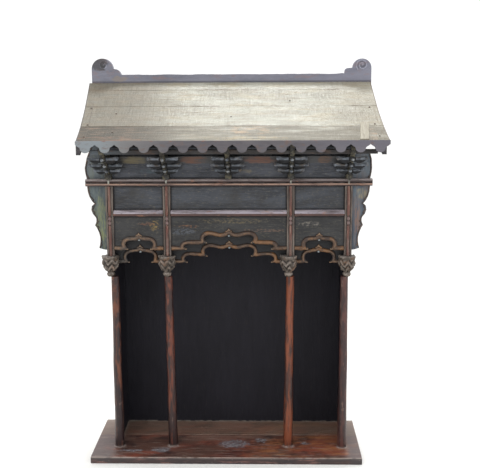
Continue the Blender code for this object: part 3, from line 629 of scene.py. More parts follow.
# The posts: they stand on the capitals and are tenoned into the top rail, each with a red bead down
# its middle that is turned into two pearls under the lower rail, and a brown fillet on each side.
post_lacquer = Finish("post_lacquer", (76, 66, 60), 0.38, 0.40)
run = post_lacquer.grain(16, 2.6, (8, 8, 1))
post_lacquer.coat(run, (48, 38, 37), 0.7)
post_lacquer.coat(post_lacquer.patches(14, 0.46, 0.08, (10, 10, 1)), (122, 112, 104), 0.6, 0.5)
# Painted shade in the gaps between the fillets and the bead.
post_lacquer.coat(post_lacquer.raised(0.35, 0.05), (24, 19, 19), 0.9, 0.6)
heart = post_lacquer.raised(0.86, 0.94)
red = post_lacquer.patches(20, 0.62, 0.12, (6, 6, 1))
post_lacquer.coat((heart, red), (92, 50, 42), 0.85, 0.38)
# A painted highlight in thin pale streaks down the red bead.
pale = post_lacquer.patches(24, 0.34, 0.06, (14, 9, 1))
post_lacquer.coat((heart, pale), (150, 122, 106), 0.6, 0.4)
pearl_zone = post_lacquer.band("Z", 0.7225, 0.7245, 0.7495, 0.7485)
post_lacquer.coat((pearl_zone, heart), (112, 98, 98), 0.6, 0.25)
post_lacquer.relief(run, 0.0005)

bead_reach = 0.0048
fillet_reach = 0.0030
pearl_height = 0.013
pearls_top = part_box("lower_rail_centre")[0].z
for seed, name in enumerate(uprights):
    low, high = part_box("post_" + name)
    middle = (low.x + high.x) / 2
    front = low.y + bead_reach
    levels = [low.z + (pearls_top - 2 * pearl_height - low.z) * i / 24 for i in range(25)]
    levels += [pearls_top - 2 * pearl_height + pearl_height * i / 12 for i in range(1, 25)]
    levels += [pearls_top + (high.z - pearls_top) * i / 20 for i in range(1, 21)]
    shape = bmesh.new()
    layer = raised_layer(shape)
    rows = []
    for z in levels:
        below = pearls_top - z
        bead = bead_reach
        if 0.0 <= below <= 2 * pearl_height + 0.0001:
            bead = bead_reach * (0.36 + 0.84 * abs(math.sin(math.pi * below / pearl_height)) ** 0.6)
        drift = noise.noise(Vector((seed * 9.0, 0.0, z * 20.0))) * 0.0006
        section = [(low.x, high.y, 0.0)]
        for centre, reach, first, last, crest in (
            (low.x + fillet_reach, fillet_reach, 180, 352, 0.75),
            (middle + drift, bead, 188, 352, 1.0),
            (high.x - fillet_reach, fillet_reach, 188, 360, 0.75),
        ):
            for x, y in bow((centre, front), reach, first, last, 10):
                section.append((x, y, crest * min(1.0, (front - y) / reach * 1.6)))
        section.append((high.x, high.y, 0.0))
        row = []
        for x, y, heart in section:
            vertex = shape.verts.new((x, y, z))
            vertex[layer] = heart
            row.append(vertex)
        rows.append(row)
    close_rows(shape, rows)
    shrine_piece("beaded_post_" + name, shape, post_lacquer, ["post_" + name], 50)


# The rails: the top rail is one moulding of two round beads across the whole front and the wings,
# the lower rails are bevelled and fit between the posts; all were red and are rubbed pale on top,
# with painted highlights on the beads and bevels and painted shade in the groove and underneath.
rail_lacquer = Finish("rail_lacquer", (60, 44, 42), 0.32, 0.45)
run = rail_lacquer.grain(14, 2.6, (1, 8, 8))
rail_lacquer.coat(run, (36, 27, 28), 0.65)
rail_low, rail_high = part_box("top_rail")
worn = rail_lacquer.patches(9, 0.68, 0.16, (1, 10, 10))
rail_middle = (rail_low.z + rail_high.z) / 2
# Rubbed wear and a painted highlight: the upper bead is pale on its top.
top_bead = rail_lacquer.along("Z", rail_high.z - 0.0070, rail_high.z - 0.0030)
rail_lacquer.coat((top_bead, worn), (156, 146, 144), 0.88, 0.34)
# A painted highlight on the lower bead, in rubbed patches.
foot_z = rail_low.z
below = (rail_middle - 0.0015, rail_middle - 0.004)
low_bead = rail_lacquer.band("Z", foot_z + 0.003, foot_z + 0.0055, *below)
rail_lacquer.coat((low_bead, worn), (168, 136, 118), 0.86, 0.34)
# Painted shade in the groove between the two beads.
below = (rail_middle - 0.0022, rail_middle - 0.0010)
groove = rail_lacquer.band("Z", *below, rail_middle + 0.0022, rail_middle + 0.0010)
rail_lacquer.coat(groove, (22, 16, 17), 0.9, 0.6)
lower_low, lower_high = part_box("lower_rail_centre")
on_lower = rail_lacquer.along("Z", lower_high.z + 0.003, lower_high.z + 0.001)
# A painted reflection of the room on the lower rails' top bevel, broken by rubbed patches.
bevel = rail_lacquer.both(rail_lacquer.along("Z", lower_high.z - 0.0110, lower_high.z - 0.0090), on_lower)
rail_lacquer.coat((bevel, worn), (164, 157, 168), 0.9, 0.26)
front_low = rail_lacquer.along("Z", lower_high.z - 0.0100, lower_high.z - 0.0115)
rail_lacquer.coat((front_low, on_lower, worn), (84, 54, 48), 0.75, 0.4)
# Painted shade along the underside of the lower rails.
under = rail_lacquer.along("Z", lower_low.z + 0.0035, lower_low.z + 0.0020)
rail_lacquer.coat(under, (30, 18, 20), 0.9, 0.5)
rail_lacquer.coat(rail_lacquer.patches(26, 0.22, 0.05, (1, 4, 4)), (150, 104, 78), 0.55, 0.5)
rail_lacquer.coat(rail_lacquer.patches(60, 0.30, 0.05, (1, 4, 4)), (46, 34, 36), 0.6, 0.5)
rail_lacquer.coat(rail_lacquer.effect(settled_dust, Amount=0.4), (160, 152, 150), 1.0, 0.7)
rail_lacquer.relief(run, 0.0005)

bead = (rail_high.z - rail_low.z) / 4
outline = [(rail_high.y, rail_low.z), (rail_high.y, rail_high.z)]
for centre_z in (rail_high.z - bead, rail_low.z + bead):
    outline += bow((rail_low.y + bead, centre_z), bead * 0.98, 92, 268, 9)
rings = hand_planed(outline, rail_low.x, rail_high.x, 90, 0.0005)
shrine_piece("moulded_top_rail", skin(rings), rail_lacquer, ["top_rail"], 50)
bays = ("left", "centre", "right")
for name in bays:
    low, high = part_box("lower_rail_" + name)
    outline = [(high.y, low.z), (high.y, high.z), (low.y + 0.0075, high.z), (low.y + 0.005, high.z - 0.001)]
    outline += [(low.y + 0.001, high.z - 0.0075), (low.y, high.z - 0.0100), (low.y, low.z + 0.004)]
    outline += [(low.y + 0.001, low.z + 0.0015), (low.y + 0.003, low.z)]
    rings = hand_planed(outline, low.x, high.x, 12 + int((high.x - low.x) * 90), 0.0005, 0.0003)
    stands_for = ["lower_rail_" + name]
    shrine_piece("bevelled_rail_" + name, skin(rings), rail_lacquer, stands_for, 40)

peg_wood = Finish("peg_wood", (86, 80, 74), 0.5)
whitened = peg_wood.patches(120, 0.42, 0.10)
peg_wood = peg_wood.coat(whitened, (164, 164, 154), 0.8)
pegs = bmesh.new()
peg_profile = ((-0.0040, 0.0018), (-0.002, 0.0028), (0.005, 0.0032), (0.0085, 0.0026), (0.0102, 0.0012))
peg_back = rail_low.y + 0.004
for name in uprights:
    low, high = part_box("post_" + name)
    middle = (low.x + high.x) / 2
    rings = []
    for z, reach in peg_profile:
        ring = bow((middle, rail_low.y + 0.0012), reach, 180, 360, 8)
        ring += [(middle + reach, peg_back), (middle - reach, peg_back)]
        rings.append([(x, y, rail_middle + z) for x, y in ring])
    skin(rings, pegs)
shrine_piece("post_pegs", pegs, peg_wood, (), 50)


# The frieze: sunk panels between the two rails and a tall board with a thin beam above them, all in
# blue-grey lacquer dulled by age, with painted shade behind the brackets and under the eave, and rusty
# patches along the beam.
def blue_lacquer(name, ground, dark, pale, fleck):
    coat = Finish(name, ground, 0.48, 0.28)
    run = coat.grain(11, 2.8, (1, 8, 8))
    fine = coat.grain(55, 2.8, (1, 7, 7))
    coat.coat(run, dark, 0.7).coat(fine, dark, 0.55)
    coat.coat(coat.patches(9, 0.45, 0.16, (1, 3, 3)), pale, 0.55, 0.42)
    coat.coat(coat.patches(30, 0.38, 0.10, (1, 9, 9)), pale, 0.45, 0.5)
    coat.coat(coat.patches(110, 0.26, 0.06, (1, 3, 3)), fleck, 0.34, 0.6)
    coat.relief(run, 0.0007).relief(fine, 0.0003)
    return coat


def painted_corner_shade(coat, x_edges, z_edges, colour):
    """Painted shade along the edges of the board, black where it meets the posts and the rails."""
    for edges, axis in ((x_edges, "X"), (z_edges, "Z")):
        for place, side in edges:
            near = (place + side * 0.0065, place + side * 0.0015)
            coat.coat(coat.band(axis, *near, place - side * 0.002, place), colour, 0.7)


post_edges = []
for name in uprights:
    low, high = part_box("post_" + name)
    post_edges += [(low.x, -1), (high.x, 1)]


def streaky_stains(coat, stains, share):
    for centre, reach, colour in stains:
        spot = coat.spot(centre, reach, 1.3)
        streaks = coat.patches(16, 0.60, 0.12, (1, 5, 5))
        coat.coat((spot, streaks), colour, share)


panel_lacquer = blue_lacquer("panel_lacquer", (54, 57, 63), (33, 34, 38), (76, 80, 88), (118, 112, 96))
panel_lacquer.coat(panel_lacquer.patches(11, 0.36, 0.16, (1, 1.4, 1.4)), (50, 47, 42), 0.6)
# Painted shade along the posts and the rails.
painted_corner_shade(panel_lacquer, post_edges, ((rail_low.z, -1), (lower_high.z, 1)), (22, 21, 22))
for name in bays:
    refinish(panel_lacquer, "frieze_panel_" + name)
board_colours = ((66, 69, 76), (38, 39, 44), (94, 97, 106), (134, 128, 108))
board_lacquer = blue_lacquer("upper_board_lacquer", *board_colours)
low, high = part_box("upper_beam")
beam_z = (low.z + high.z) / 2
beam_face = board_lacquer.along("Y", low.y + 0.006, low.y + 0.003)
board_lacquer.coat((beam_face, board_lacquer.along("Z", low.z - 0.001, low.z + 0.001)), (84, 82, 80), 0.6)
streaky_stains(board_lacquer, (
    ((-0.268, low.y, beam_z), (0.044, 0.02, 0.016), (118, 108, 84)),
    ((-0.094, low.y, beam_z), (0.046, 0.02, 0.014), (116, 84, 70)),
    ((0.102, low.y, beam_z), (0.052, 0.02, 0.014), (120, 84, 70)),
    ((0.296, low.y, beam_z), (0.026, 0.02, 0.014), (110, 88, 76)),
    ((0.060, low.y, 0.883), (0.045, 0.02, 0.010), (120, 112, 96)),
    ((-0.200, low.y, 0.884), (0.090, 0.02, 0.014), (72, 84, 92)),
), 0.85)
# Painted shadow: a dark ragged spot on the board behind each bracket.
for name in ("far_left", "left", "centre", "right", "far_right"):
    low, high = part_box("bracket_" + name)
    behind = ((low.x + high.x) / 2, high.y, low.z + 0.048)
    board_lacquer.coat(board_lacquer.spot(behind, (0.062, 0.03, 0.040), 0.5), (26, 26, 29), 0.75, 0.6)
# Painted shade: near black along the board's top, above the pole and under the roof.
pole_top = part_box("eave_purlin")[1].z
board_lacquer.coat(board_lacquer.along("Z", pole_top - 0.006, pole_top), (16, 16, 17), 0.9, 0.8)
# Painted shade on the board just above the top rail.
painted_corner_shade(board_lacquer, (), ((rail_high.z, 1),), (20, 20, 22))
refinish(board_lacquer, "upper_frieze_board", "upper_beam")


# The aprons: boards with a cusped edge that hang from the lower rail, and a second row close behind
# them that hangs lower; dark green-grey with traces of gold, and a golden-brown bead along the edge.
apron_paint = blue_lacquer("apron_lacquer", (45, 45, 46), (25, 25, 27), (60, 60, 61), (104, 98, 80))
gold = apron_paint.patches(120, 0.44, 0.08, (1, 2, 2))
traces = (
    (-0.212, 0.722, 0.018, 0.020, (142, 118, 66)),
    (-0.236, 0.727, 0.030, 0.006, (128, 84, 62)),
    (-0.112, 0.718, 0.040, 0.006, (136, 94, 66)),
    (-0.132, 0.704, 0.050, 0.014, (88, 94, 104)),
    (0.020, 0.735, 0.120, 0.010, (112, 100, 74)),
    (0.120, 0.706, 0.090, 0.006, (110, 88, 74)),
    (0.250, 0.726, 0.040, 0.008, (134, 128, 120)),
)
for x, z, across, up, colour in traces:
    trace = apron_paint.spot((x, -0.068, z), (across, 0.02, up), 1.5)
    apron_paint.coat((trace, gold), colour, 0.5)
# Painted shade along the posts and under the lower rail.
painted_corner_shade(apron_paint, post_edges, ((lower_low.z, -1),), (18, 18, 19))
# Painted shade: the rear row of aprons is darker on its face, behind the front row.
rear_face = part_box("rear_apron_centre")[0].y
apron_paint.coat(apron_paint.along("Y", rear_face - 0.006, rear_face - 0.001), (24, 24, 27), 0.75)
for name in bays:
    refinish(apron_paint, "front_apron_" + name, "rear_apron_" + name)

bead_gold = Finish("golden_bead", (68, 52, 42), 0.42, 0.36)
run = bead_gold.patches(42, 0.5, 0.14)
bead_gold.coat(run, (50, 39, 35), 0.8)
bead_gold.coat(bead_gold.patches(22, 0.42, 0.08), (120, 84, 52), 0.7, 0.36)
low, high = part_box("front_apron_left")
left_bay = bead_gold.along("X", high.x, low.x)
bead_gold.coat(left_bay, (72, 70, 66), 0.5)
# Painted shadow: the rear beads in the left bay are darker.
behind = bead_gold.along("Y", rear_face - 0.010, rear_face - 0.006)
bead_gold.coat((behind, left_bay), (40, 38, 38), 0.8)
# Painted shade on the bead's low sides, a painted highlight on its crest, and a paler painted highlight at
# the cusp tips.
bead_gold.coat(bead_gold.raised(0.55, 0.15), (24, 19, 18), 0.92, 0.6)
crest = bead_gold.both(bead_gold.raised(0.86, 0.98), bead_gold.patches(60, 0.46, 0.12))
bead_gold.coat(crest, (150, 116, 84), 0.42, 0.34)
bead_gold.coat(bead_gold.raised(1.20, 1.60), (132, 112, 92), 0.7, 0.45)
bead_gold.relief(run, 0.0004)

bead_width = 0.010
bead_sides = 10
curl_out = 0.011
curl_in = 0.010
edge_sag = 0.005
carvings = {
    "front_centre": (((0.129, 0.002, 0.017), (0.068, 0.021, 0.045)), (0.024, 0.039), 0.047),
    "front_side": (((0.035, 0.002, 0.0285),), (0.014, 0.029), 0.034),
    "rear_centre": (((0.129, 0.002, 0.023), (0.068, 0.021, 0.049)), (0.024, 0.043), 0.051),
    "rear_side": (((0.035, 0.002, 0.032),), (0.014, 0.034), 0.039),
}


def curve_to(points, b, c, d, steps):
    """Carries a chain of points on along a cubic curve."""
    a = points[-1]
    for i in range(1, steps + 1):
        t = i / steps
        s = 1 - t
        weights = (s * s * s, 3 * s * s * t, 3 * s * t * t, t * t * t)
        points.append(tuple(sum(w * p[k] for w, p in zip(weights, (a, b, c, d))) for k in (0, 1)))


def half_edge(half_width, cusps, waist, peak):
    """The left half of an apron's cut edge, from its side to its peak, and its cusps' places."""
    points = [(-half_width, 0.0)]
    tips = []
    for cusp_x, cusp_z, step_z in cusps:
        x, z = points[-1]
        run = -cusp_x - x
        sag = edge_sag if cusp_z > z else edge_sag / 2
        curve_to(points, (x + 0.4 * run, z), (x + 0.7 * run, cusp_z - sag), (-cusp_x, cusp_z), 8)
        tips.append((-cusp_x, cusp_z))
        rise = step_z - cusp_z
        back = -cusp_x - curl_out
        curve_to(points, (back, cusp_z + 0.3 * rise), (back, step_z), (-cusp_x + curl_in, step_z), 12)
    x, z = points[-1]
    curve_to(points, (x + 0.4 * (-waist[0] - x), z), (-1.5 * waist[0], waist[1]), (-waist[0], waist[1]), 6)
    curve_to(points, (-0.5 * waist[0], waist[1]), (-0.25 * waist[0], peak - 0.003), (0, peak), 8)
    return points, tips


def apron_line(centre, low_x, high_x, base_z, carving):
    """A whole cut edge between two x, and the places of its cusps."""
    left, left_tips = half_edge(centre - low_x, *carving)
    right, right_tips = half_edge(high_x - centre, *carving)
    points = left + [(-x, z) for x, z in right[-2::-1]]
    tips = left_tips + [(-x, z) for x, z in right_tips]
    return [(centre + x, base_z + z) for x, z in points], [(centre + x, base_z + z) for x, z in tips]


def moved_in(line, distance):
    """A line moved to its left, into the wood, without the loops that a cusp would leave."""
    kept = []
    for i, here in enumerate(line):
        before = Vector(line[max(0, i - 1)])
        after = Vector(line[min(len(line) - 1, i + 1)])
        run = (after - before).normalized()
        point = Vector(here) + Vector((-run.y, run.x)) * distance
        nearest = min((point - Vector(other)).length for other in line)
        if nearest > 0.86 * distance:
            kept.append(point)
    return kept


def round_bead(shape, layer, line, tips, y, radius, height, taper=0.0):
    """A half-round bead along a line on a board's face, marked for painted shade on its sides and a painted
    highlight where it comes to a cusp.
    """
    rows = []
    for i, here in enumerate(line):
        before = line[max(0, i - 1)]
        after = line[min(len(line) - 1, i + 1)]
        run = (after - before).normalized()
        side = Vector((-run.y, run.x))
        near = min((here - Vector(tip)).length for tip in tips)
        pale = max(0.0, 1.0 - near / 0.012)
        swell = 1.0 + 0.14 * noise.noise(Vector((here.x * 90.0, here.y * 90.0, y * 50.0)))
        swell *= 1.0 - taper * i / (len(line) - 1)
        row = []
        for j in range(bead_sides):
            angle = math.tau * j / bead_sides
            across = radius * swell * math.cos(angle)
            out = height * swell * math.sin(angle)
            vertex = shape.verts.new((here.x + side.x * across, y - out, here.y + side.y * across))
            vertex[layer] = max(0.0, math.sin(angle)) * (1.0 + pale)
            row.append(vertex)
        rows.append(row)
    close_rows(shape, rows)


pearl_paint = Finish("pearl_paint", (142, 148, 150), 0.34)
pearl_paint.coat(pearl_paint.patches(220, 0.4, 0.1), (112, 118, 122), 0.7)
middle = (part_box("post_inner_left")[0].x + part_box("post_inner_right")[1].x) / 2
bead_heft = {"front": 0.0068, "rear": 0.0060}
pearl_shape = bmesh.new()
for row_name, heft in bead_heft.items():
    for name in bays:
        low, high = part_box(row_name + "_apron_" + name)
        centre_x = middle
        carving = carvings[row_name + "_centre"]
        if name != "centre":
            posts = [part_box("post_" + part + "_" + name) for part in ("outer", "inner")]
            centre_x = sum(post[0].x + post[1].x for post in posts) / 4
            carving = carvings[row_name + "_side"]
        line, tips = apron_line(centre_x, low.x, high.x, low.z, carving)
        shape = bmesh.new()
        layer = raised_layer(shape)
        path = moved_in(line, bead_width / 2)
        round_bead(shape, layer, path, tips, low.y + 0.003, heft, 0.0056)
        for tip in tips:
            tip = Vector(tip)
            start = min(path, key=lambda point: (point - tip).length)
            tip += Vector((0.002 if tip.x < centre_x else -0.002, -0.001))
            spur = [start.lerp(tip, i / 6) for i in range(7)]
            round_bead(shape, layer, spur, [tip], low.y + 0.0032, heft * 0.9, 0.0050, 0.72)
        peak_z = low.z + carving[2]
        leaf = [(-0.009, 0.007)]
        curve_to(leaf, (-0.006, 0.011), (-0.001, 0.009), (0.0, 0.0160), 6)
        curve_to(leaf, (0.001, 0.009), (0.006, 0.011), (0.009, 0.007), 6)
        leaf = [Vector((centre_x + x, peak_z + z)) for x, z in leaf]
        round_bead(shape, layer, leaf, [leaf[6]], low.y + 0.0025, 0.0030, 0.0042)
        shrine_piece(row_name + "_bead_" + name, shape, bead_gold, (), 70)
        place = Matrix.Translation((centre_x, low.y + 0.006, peak_z - 0.0048))
        bmesh.ops.create_uvsphere(pearl_shape, u_segments=20, v_segments=12, radius=0.0036, matrix=place)
shrine_piece("apron_pearls", pearl_shape, pearl_paint, (), 80)


# The wings: carved boards outside the outer posts, housed in the top rail; grey-blue paint over bare
# wood, streaked yellow-green on the left one and rusty on the right one, with a dark moulded rim.
def wing_paint(name, ground, dark, washes, spots):
    coat = Finish(name, ground, 0.55, 0.35)
    run = coat.grain(7, 3.0, (10, 4, 1))
    fine = coat.grain(40, 2.8, (8, 4, 1))
    coat.coat(run, dark, 0.7).coat(fine, dark, 0.5)
    for scale, cover, colour in washes:
        coat.coat(coat.patches(scale, cover, 0.10, (7, 4, 1)), colour, 0.7)
    for centre, reach, colour in spots:
        spot = coat.spot(centre, reach, 1.5)
        streaks = coat.patches(34, 0.48, 0.14, (9, 4, 1))
        coat.coat((spot, streaks), colour, 0.8)
    coat.coat(coat.along("Z", 0.82, 0.89), (110, 116, 122), 0.5)
    coat.relief(run, 0.0012)
    return coat


left_low, left_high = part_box("left_wing")
right_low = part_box("right_wing")[0]
front = left_low.y
left_washes = ((8.0, 0.42, (96, 106, 106)), (18.0, 0.32, (114, 116, 88)), (26.0, 0.40, (58, 66, 72)))
left_spots = (((left_high.x - 0.018, front, 0.735), (0.020, 0.03, 0.090), (122, 128, 86)),
              ((left_low.x + 0.022, front, 0.890), (0.020, 0.03, 0.030), (104, 116, 112)))
right_washes = ((8.0, 0.46, (88, 104, 116)), (14.0, 0.36, (108, 94, 88)), (22.0, 0.34, (60, 66, 78)))
right_spots = (((right_low.x + 0.030, front, 0.815), (0.024, 0.03, 0.022), (138, 126, 98)),
               ((right_low.x + 0.016, front, 0.735), (0.010, 0.03, 0.060), (128, 96, 80)),
               ((right_low.x + 0.030, front, 0.690), (0.010, 0.03, 0.045), (120, 96, 84)))
left_paint = wing_paint("left_wing_paint", (86, 95, 99), (48, 54, 58), left_washes, left_spots)
right_paint = wing_paint("right_wing_paint", (90, 97, 108), (54, 56, 62), right_washes, right_spots)
refinish(left_paint, "left_wing")
refinish(right_paint, "right_wing")
rim_paint = Finish("wing_rim_paint", (52, 42, 40), 0.5)
run = rim_paint.patches(36, 0.42, 0.08)
rim_paint.coat(run, (104, 82, 68), 0.7)
rim_paint.relief(run, 0.0004)
for name, side in (("left", -1), ("right", 1)):
    low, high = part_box(name + "_wing")
    inner_x = high.x if side < 0 else low.x
    rows = {}
    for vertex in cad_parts[name + "_wing"].data.vertices:
        p = vertex.co
        if abs(p.y - low.y) < 0.0002:
            rows.setdefault(round(p.z / 0.004), []).append(p)
    line = []
    for key in sorted(rows, reverse=True):
        outer = max(rows[key], key=lambda p: abs(p.x - inner_x))
        line.append(Vector((outer.x, outer.z)))
    smooth = []
    for a, b in zip(line, line[1:]):
        smooth += [a, (a + b) / 2]
    smooth.append(line[-1])
    inset = [Vector((p.x - side * 0.0022, p.y)) for p in smooth if low.z + 0.004 < p.y < high.z - 0.004]
    shape = bmesh.new()
    far_off = [Vector((9.0, 9.0))]
    round_bead(shape, raised_layer(shape), inset, far_off, low.y + 0.001, 0.0022, 0.0022)
    shrine_piece(name + "_wing_rim", shape, rim_paint, (), 60)


# The brackets: five sets under the eave, each a strut that steps forward from a block on the rail
# and carries three crossed arms with curled ends; painted blue-grey, with painted shade under the
# arms and in every hollow and a painted highlight on their tops.
bracket_paint = Finish("bracket_paint", (98, 104, 112), 0.5, 0.30)
mottle = bracket_paint.patches(48, 0.48, 0.12)
bracket_paint.coat(mottle, (58, 60, 65), 0.8)
rubbed = bracket_paint.patches(90, 0.40, 0.08, (0.7, 1, 1))
bracket_paint.coat(rubbed, (134, 139, 148), 0.7)
bracket_paint.coat(bracket_paint.patches(30, 0.30, 0.06), (96, 82, 66), 0.7)
strut = bracket_paint.raised(1.15, 1.35)
bracket_paint.coat(strut, (42, 39, 33), 0.88, 0.5)
bracket_paint.coat((strut, rubbed), (104, 96, 70), 0.55, 0.45)
# Painted shade: near black where the raised value is low, on the undersides of the arms and knobs.
bracket_paint.coat(bracket_paint.raised(0.50, 0.12), (16, 15, 17), 0.95, 0.8)
# A painted highlight on the tops of the arms and on the noses, in rubbed patches.
painted_highlight = bracket_paint.both(bracket_paint.raised(0.80, 1.0), bracket_paint.raised(1.25, 1.10))
bracket_paint.coat((painted_highlight, rubbed), (168, 166, 158), 0.6)
bracket_paint.coat(bracket_paint.effect(settled_dust, Amount=0.5), (120, 122, 126), 1.0, 0.8)
bracket_paint.relief(mottle, 0.0006)

tiers = ((0.036, 0.026, 0.040, 0.0140), (0.066, 0.044, 0.0505, 0.0150), (0.104, 0.0655, 0.0450, 0.0180))
arm_depth = 0.013


def ring_box(x_low, x_high, y_low, y_high, z, round_by):
    """A level ring with cut corners."""
    return [(x_low + round_by, y_low, z), (x_high - round_by, y_low, z), (x_high, y_low + round_by, z),
            (x_high, y_high, z), (x_low, y_high, z), (x_low, y_low + round_by, z)]


def raise_new(shape, layer, since, value):
    shape.verts.ensure_lookup_table()
    for vertex in shape.verts[since:]:
        vertex[layer] = value(vertex.co)


def lofted(shape, layer, rings, value):
    """Adds one more closed skin to a carving and gives each of its points the raised value that the paint
    reads; on the arms it rises from the underside to the top, for painted shade and a painted highlight.
    """
    since = len(shape.verts)
    skin(rings, shape)
    raise_new(shape, layer, since, value)


def knob_on(shape, layer, place, sizes, value):
    since = len(shape.verts)
    matrix = Matrix.Translation(place) @ Matrix.Diagonal((*sizes, 1.0))
    bmesh.ops.create_uvsphere(shape, u_segments=14, v_segments=10, radius=1.0, matrix=matrix)
    raise_new(shape, layer, since, value)


def cloud_arm(start_x, side, length, front, middle_z, arm_height):
    """Half a crossed arm: a swelling bar whose lower edge is scooped, and thins to a curled end."""
    rings = []
    for i in range(17):
        share = i / 16
        x = start_x + side * length * share
        swell = 0.60 + 0.40 * math.sin(math.pi * min(1.0, share / 0.88)) ** 0.7
        tall = arm_height * swell * (1.0 - 0.35 * max(0.0, share - 0.88) / 0.12)
        z = middle_z + 0.0022 * math.cos(share * 6.4 + 0.6) - 0.0014 + 0.0036 * max(0.0, share - 0.7) / 0.3
        deep = arm_depth * (1.0 - 0.3 * max(0.0, share - 0.9) / 0.1)
        ring = []
        for j in range(12):
            angle = math.tau * j / 12
            c, s = math.cos(angle), math.sin(angle)
            out = math.copysign(abs(c) ** 0.5, c) * deep / 2
            up = math.copysign(abs(s) ** 0.6, s) * tall / 2
            ring.append((x, front + arm_depth / 2 + out, z + up))
        rings.append(ring)
    return rings


for seed, name in enumerate(("far_left", "left", "centre", "right", "far_right")):
    low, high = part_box("bracket_" + name)
    middle_x = (low.x + high.x) / 2
    board_y = high.y
    rail_z = low.z
    shape = bmesh.new()
    layer = raised_layer(shape)
    block_y = board_y - 0.022
    levels = [(0.0, block_y, 0.0098), (0.013, block_y, 0.0102), (0.017, board_y - 0.018, 0.0080)]
    reach_before = 0.014
    for reach, centre_z, half_length, tall in tiers:
        levels.append((centre_z - 0.0075, board_y - reach_before - 0.4 * (reach - reach_before), 0.0048))
        levels.append((centre_z - 0.0035, board_y - reach + 0.001, 0.0064))
        levels.append((centre_z, board_y - reach, 0.0070))
        levels.append((centre_z + 0.0045, board_y - reach + 0.001, 0.0064))
        levels.append((centre_z + 0.0080, board_y - reach + 0.006, 0.0048))
        reach_before = reach - 0.006
    rings = []
    for z, y_front, half in levels:
        y_back = board_y if z < 0.044 else board_y - 0.0125
        rings.append(ring_box(middle_x - half, middle_x + half, y_front, y_back, rail_z + z, 0.002))
    lofted(shape, layer, rings, lambda p: 1.5)
    prong_back = board_y - 0.1143
    rings = []
    for z, y_front in ((0.070, board_y - 0.100), (0.078, board_y - 0.112), (0.086, low.y + 0.0005),
                       (high.z - rail_z - 0.002, low.y + 0.0005)):
        y_back = prong_back if z > 0.080 else board_y - 0.09
        rings.append(ring_box(middle_x - 0.0066, middle_x + 0.0066, y_front, y_back, rail_z + z, 0.002))
    lofted(shape, layer, rings, lambda p: 1.5)
    for reach, centre_z, half_length, tall in tiers:
        front = board_y - reach + 0.004
        middle_z = rail_z + centre_z
        for side in (-1, 1):
            start_x = middle_x + side * 0.003
            arm = cloud_arm(start_x, side, half_length - 0.0035, front, middle_z, tall)
            # The arm's raised value rises from its underside to its top, and so does its end knob's:
            # painted shade below, a painted highlight above.
            lofted(shape, layer, arm, lambda p: min(1.0, max(0.0, 0.50 + (p.z - middle_z) * 105.0)))
            end = (middle_x + side * (half_length - 0.005), front + 0.0005, middle_z + 0.0015)
            knob_on(shape, layer, end, (0.0048, 0.0030, 0.0046), lambda p: 0.55 + (p.z - middle_z) * 80.0)
        nose = (middle_x + (seed - 2) * 0.0004, board_y - reach - 0.0005, middle_z - 0.001)
        # The nose knob's value marks it for the painted highlight.
        knob_on(shape, layer, nose, (0.0050, 0.0040, 0.0042), lambda p: 0.92)
        drop = (middle_x, board_y - reach + 0.003, middle_z - 0.0085)
        knob_on(shape, layer, drop, (0.0038, 0.0034, 0.0030), lambda p: 1.5)
    shrine_piece("carved_bracket_" + name, shape, bracket_paint, ["bracket_" + name], 50)


# The eave: a plain pole laid across the brackets, and the scalloped board nailed to the front of the
# lowest roof plank; weathered wood, grey-blue where the paint was, with dark cut edges.
def weathered(name, ground, dark, pale):
    coat = Finish(name, ground, 0.58, 0.35)
    run = coat.grain(13, 2.8, (1, 7, 7))
    fine = coat.grain(60, 2.8, (1, 5, 5))
    coat.coat(run, dark, 0.65).coat(fine, dark, 0.4)
    coat.coat(coat.patches(8, 0.45, 0.2, (1, 2, 2)), pale, 0.6)
    coat.relief(run, 0.0007)
    return coat


# Painted shade: the pole's ground is much darker than the scalloped board's, standing in for the shadow
# that board casts on it.
pole_wood = weathered("pole_wood", (50, 48, 49), (28, 27, 29), (66, 62, 60))
pole_wood.coat(pole_wood.along("X", -0.24, -0.36), (96, 106, 114), 0.6)
rusty = pole_wood.patches(16, 0.34, 0.08, (1, 2.5, 2.5))
pole_wood = pole_wood.coat(rusty, (84, 66, 56), 0.7)
eave_wood = weathered("eave_wood", (88, 85, 90), (58, 56, 62), (100, 95, 98))
eave_wood.coat(eave_wood.along("X", -0.10, -0.38), (126, 126, 125), 0.75)
eave_wood.coat(eave_wood.along("X", -0.26, -0.36), (122, 134, 142), 0.55)
eave_wood.coat(eave_wood.along("X", 0.16, 0.40), (101, 99, 109), 0.6)
brown = eave_wood.patches(26, 0.30, 0.06, (1, 2.5, 2.5))
eave_wood.coat(brown, (96, 78, 72), 0.6)
fascia_low, fascia_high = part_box("fascia_board")
eave_wood.coat(eave_wood.along("Y", fascia_low.y + 0.0012, fascia_low.y + 0.0030), (44, 40, 42), 0.85)
top_line = eave_wood.both(eave_wood.along("Z", fascia_high.z - 0.0030, fascia_high.z - 0.0010), brown)
eave_wood.coat(top_line, (120, 74, 60), 0.8)

low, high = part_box("eave_purlin")
cut = 0.0015
outline = [(low.y, low.z + cut), (low.y + cut, low.z), (high.y - cut, low.z), (high.y, low.z + cut)]
outline += [(high.y, high.z - cut), (high.y - cut, high.z), (low.y + cut, high.z), (low.y, high.z - cut)]
rings = hand_planed(outline, low.x, high.x, 80, 0.0009)
shrine_piece("eave_pole", skin(rings), pole_wood, ["eave_purlin"], 40)


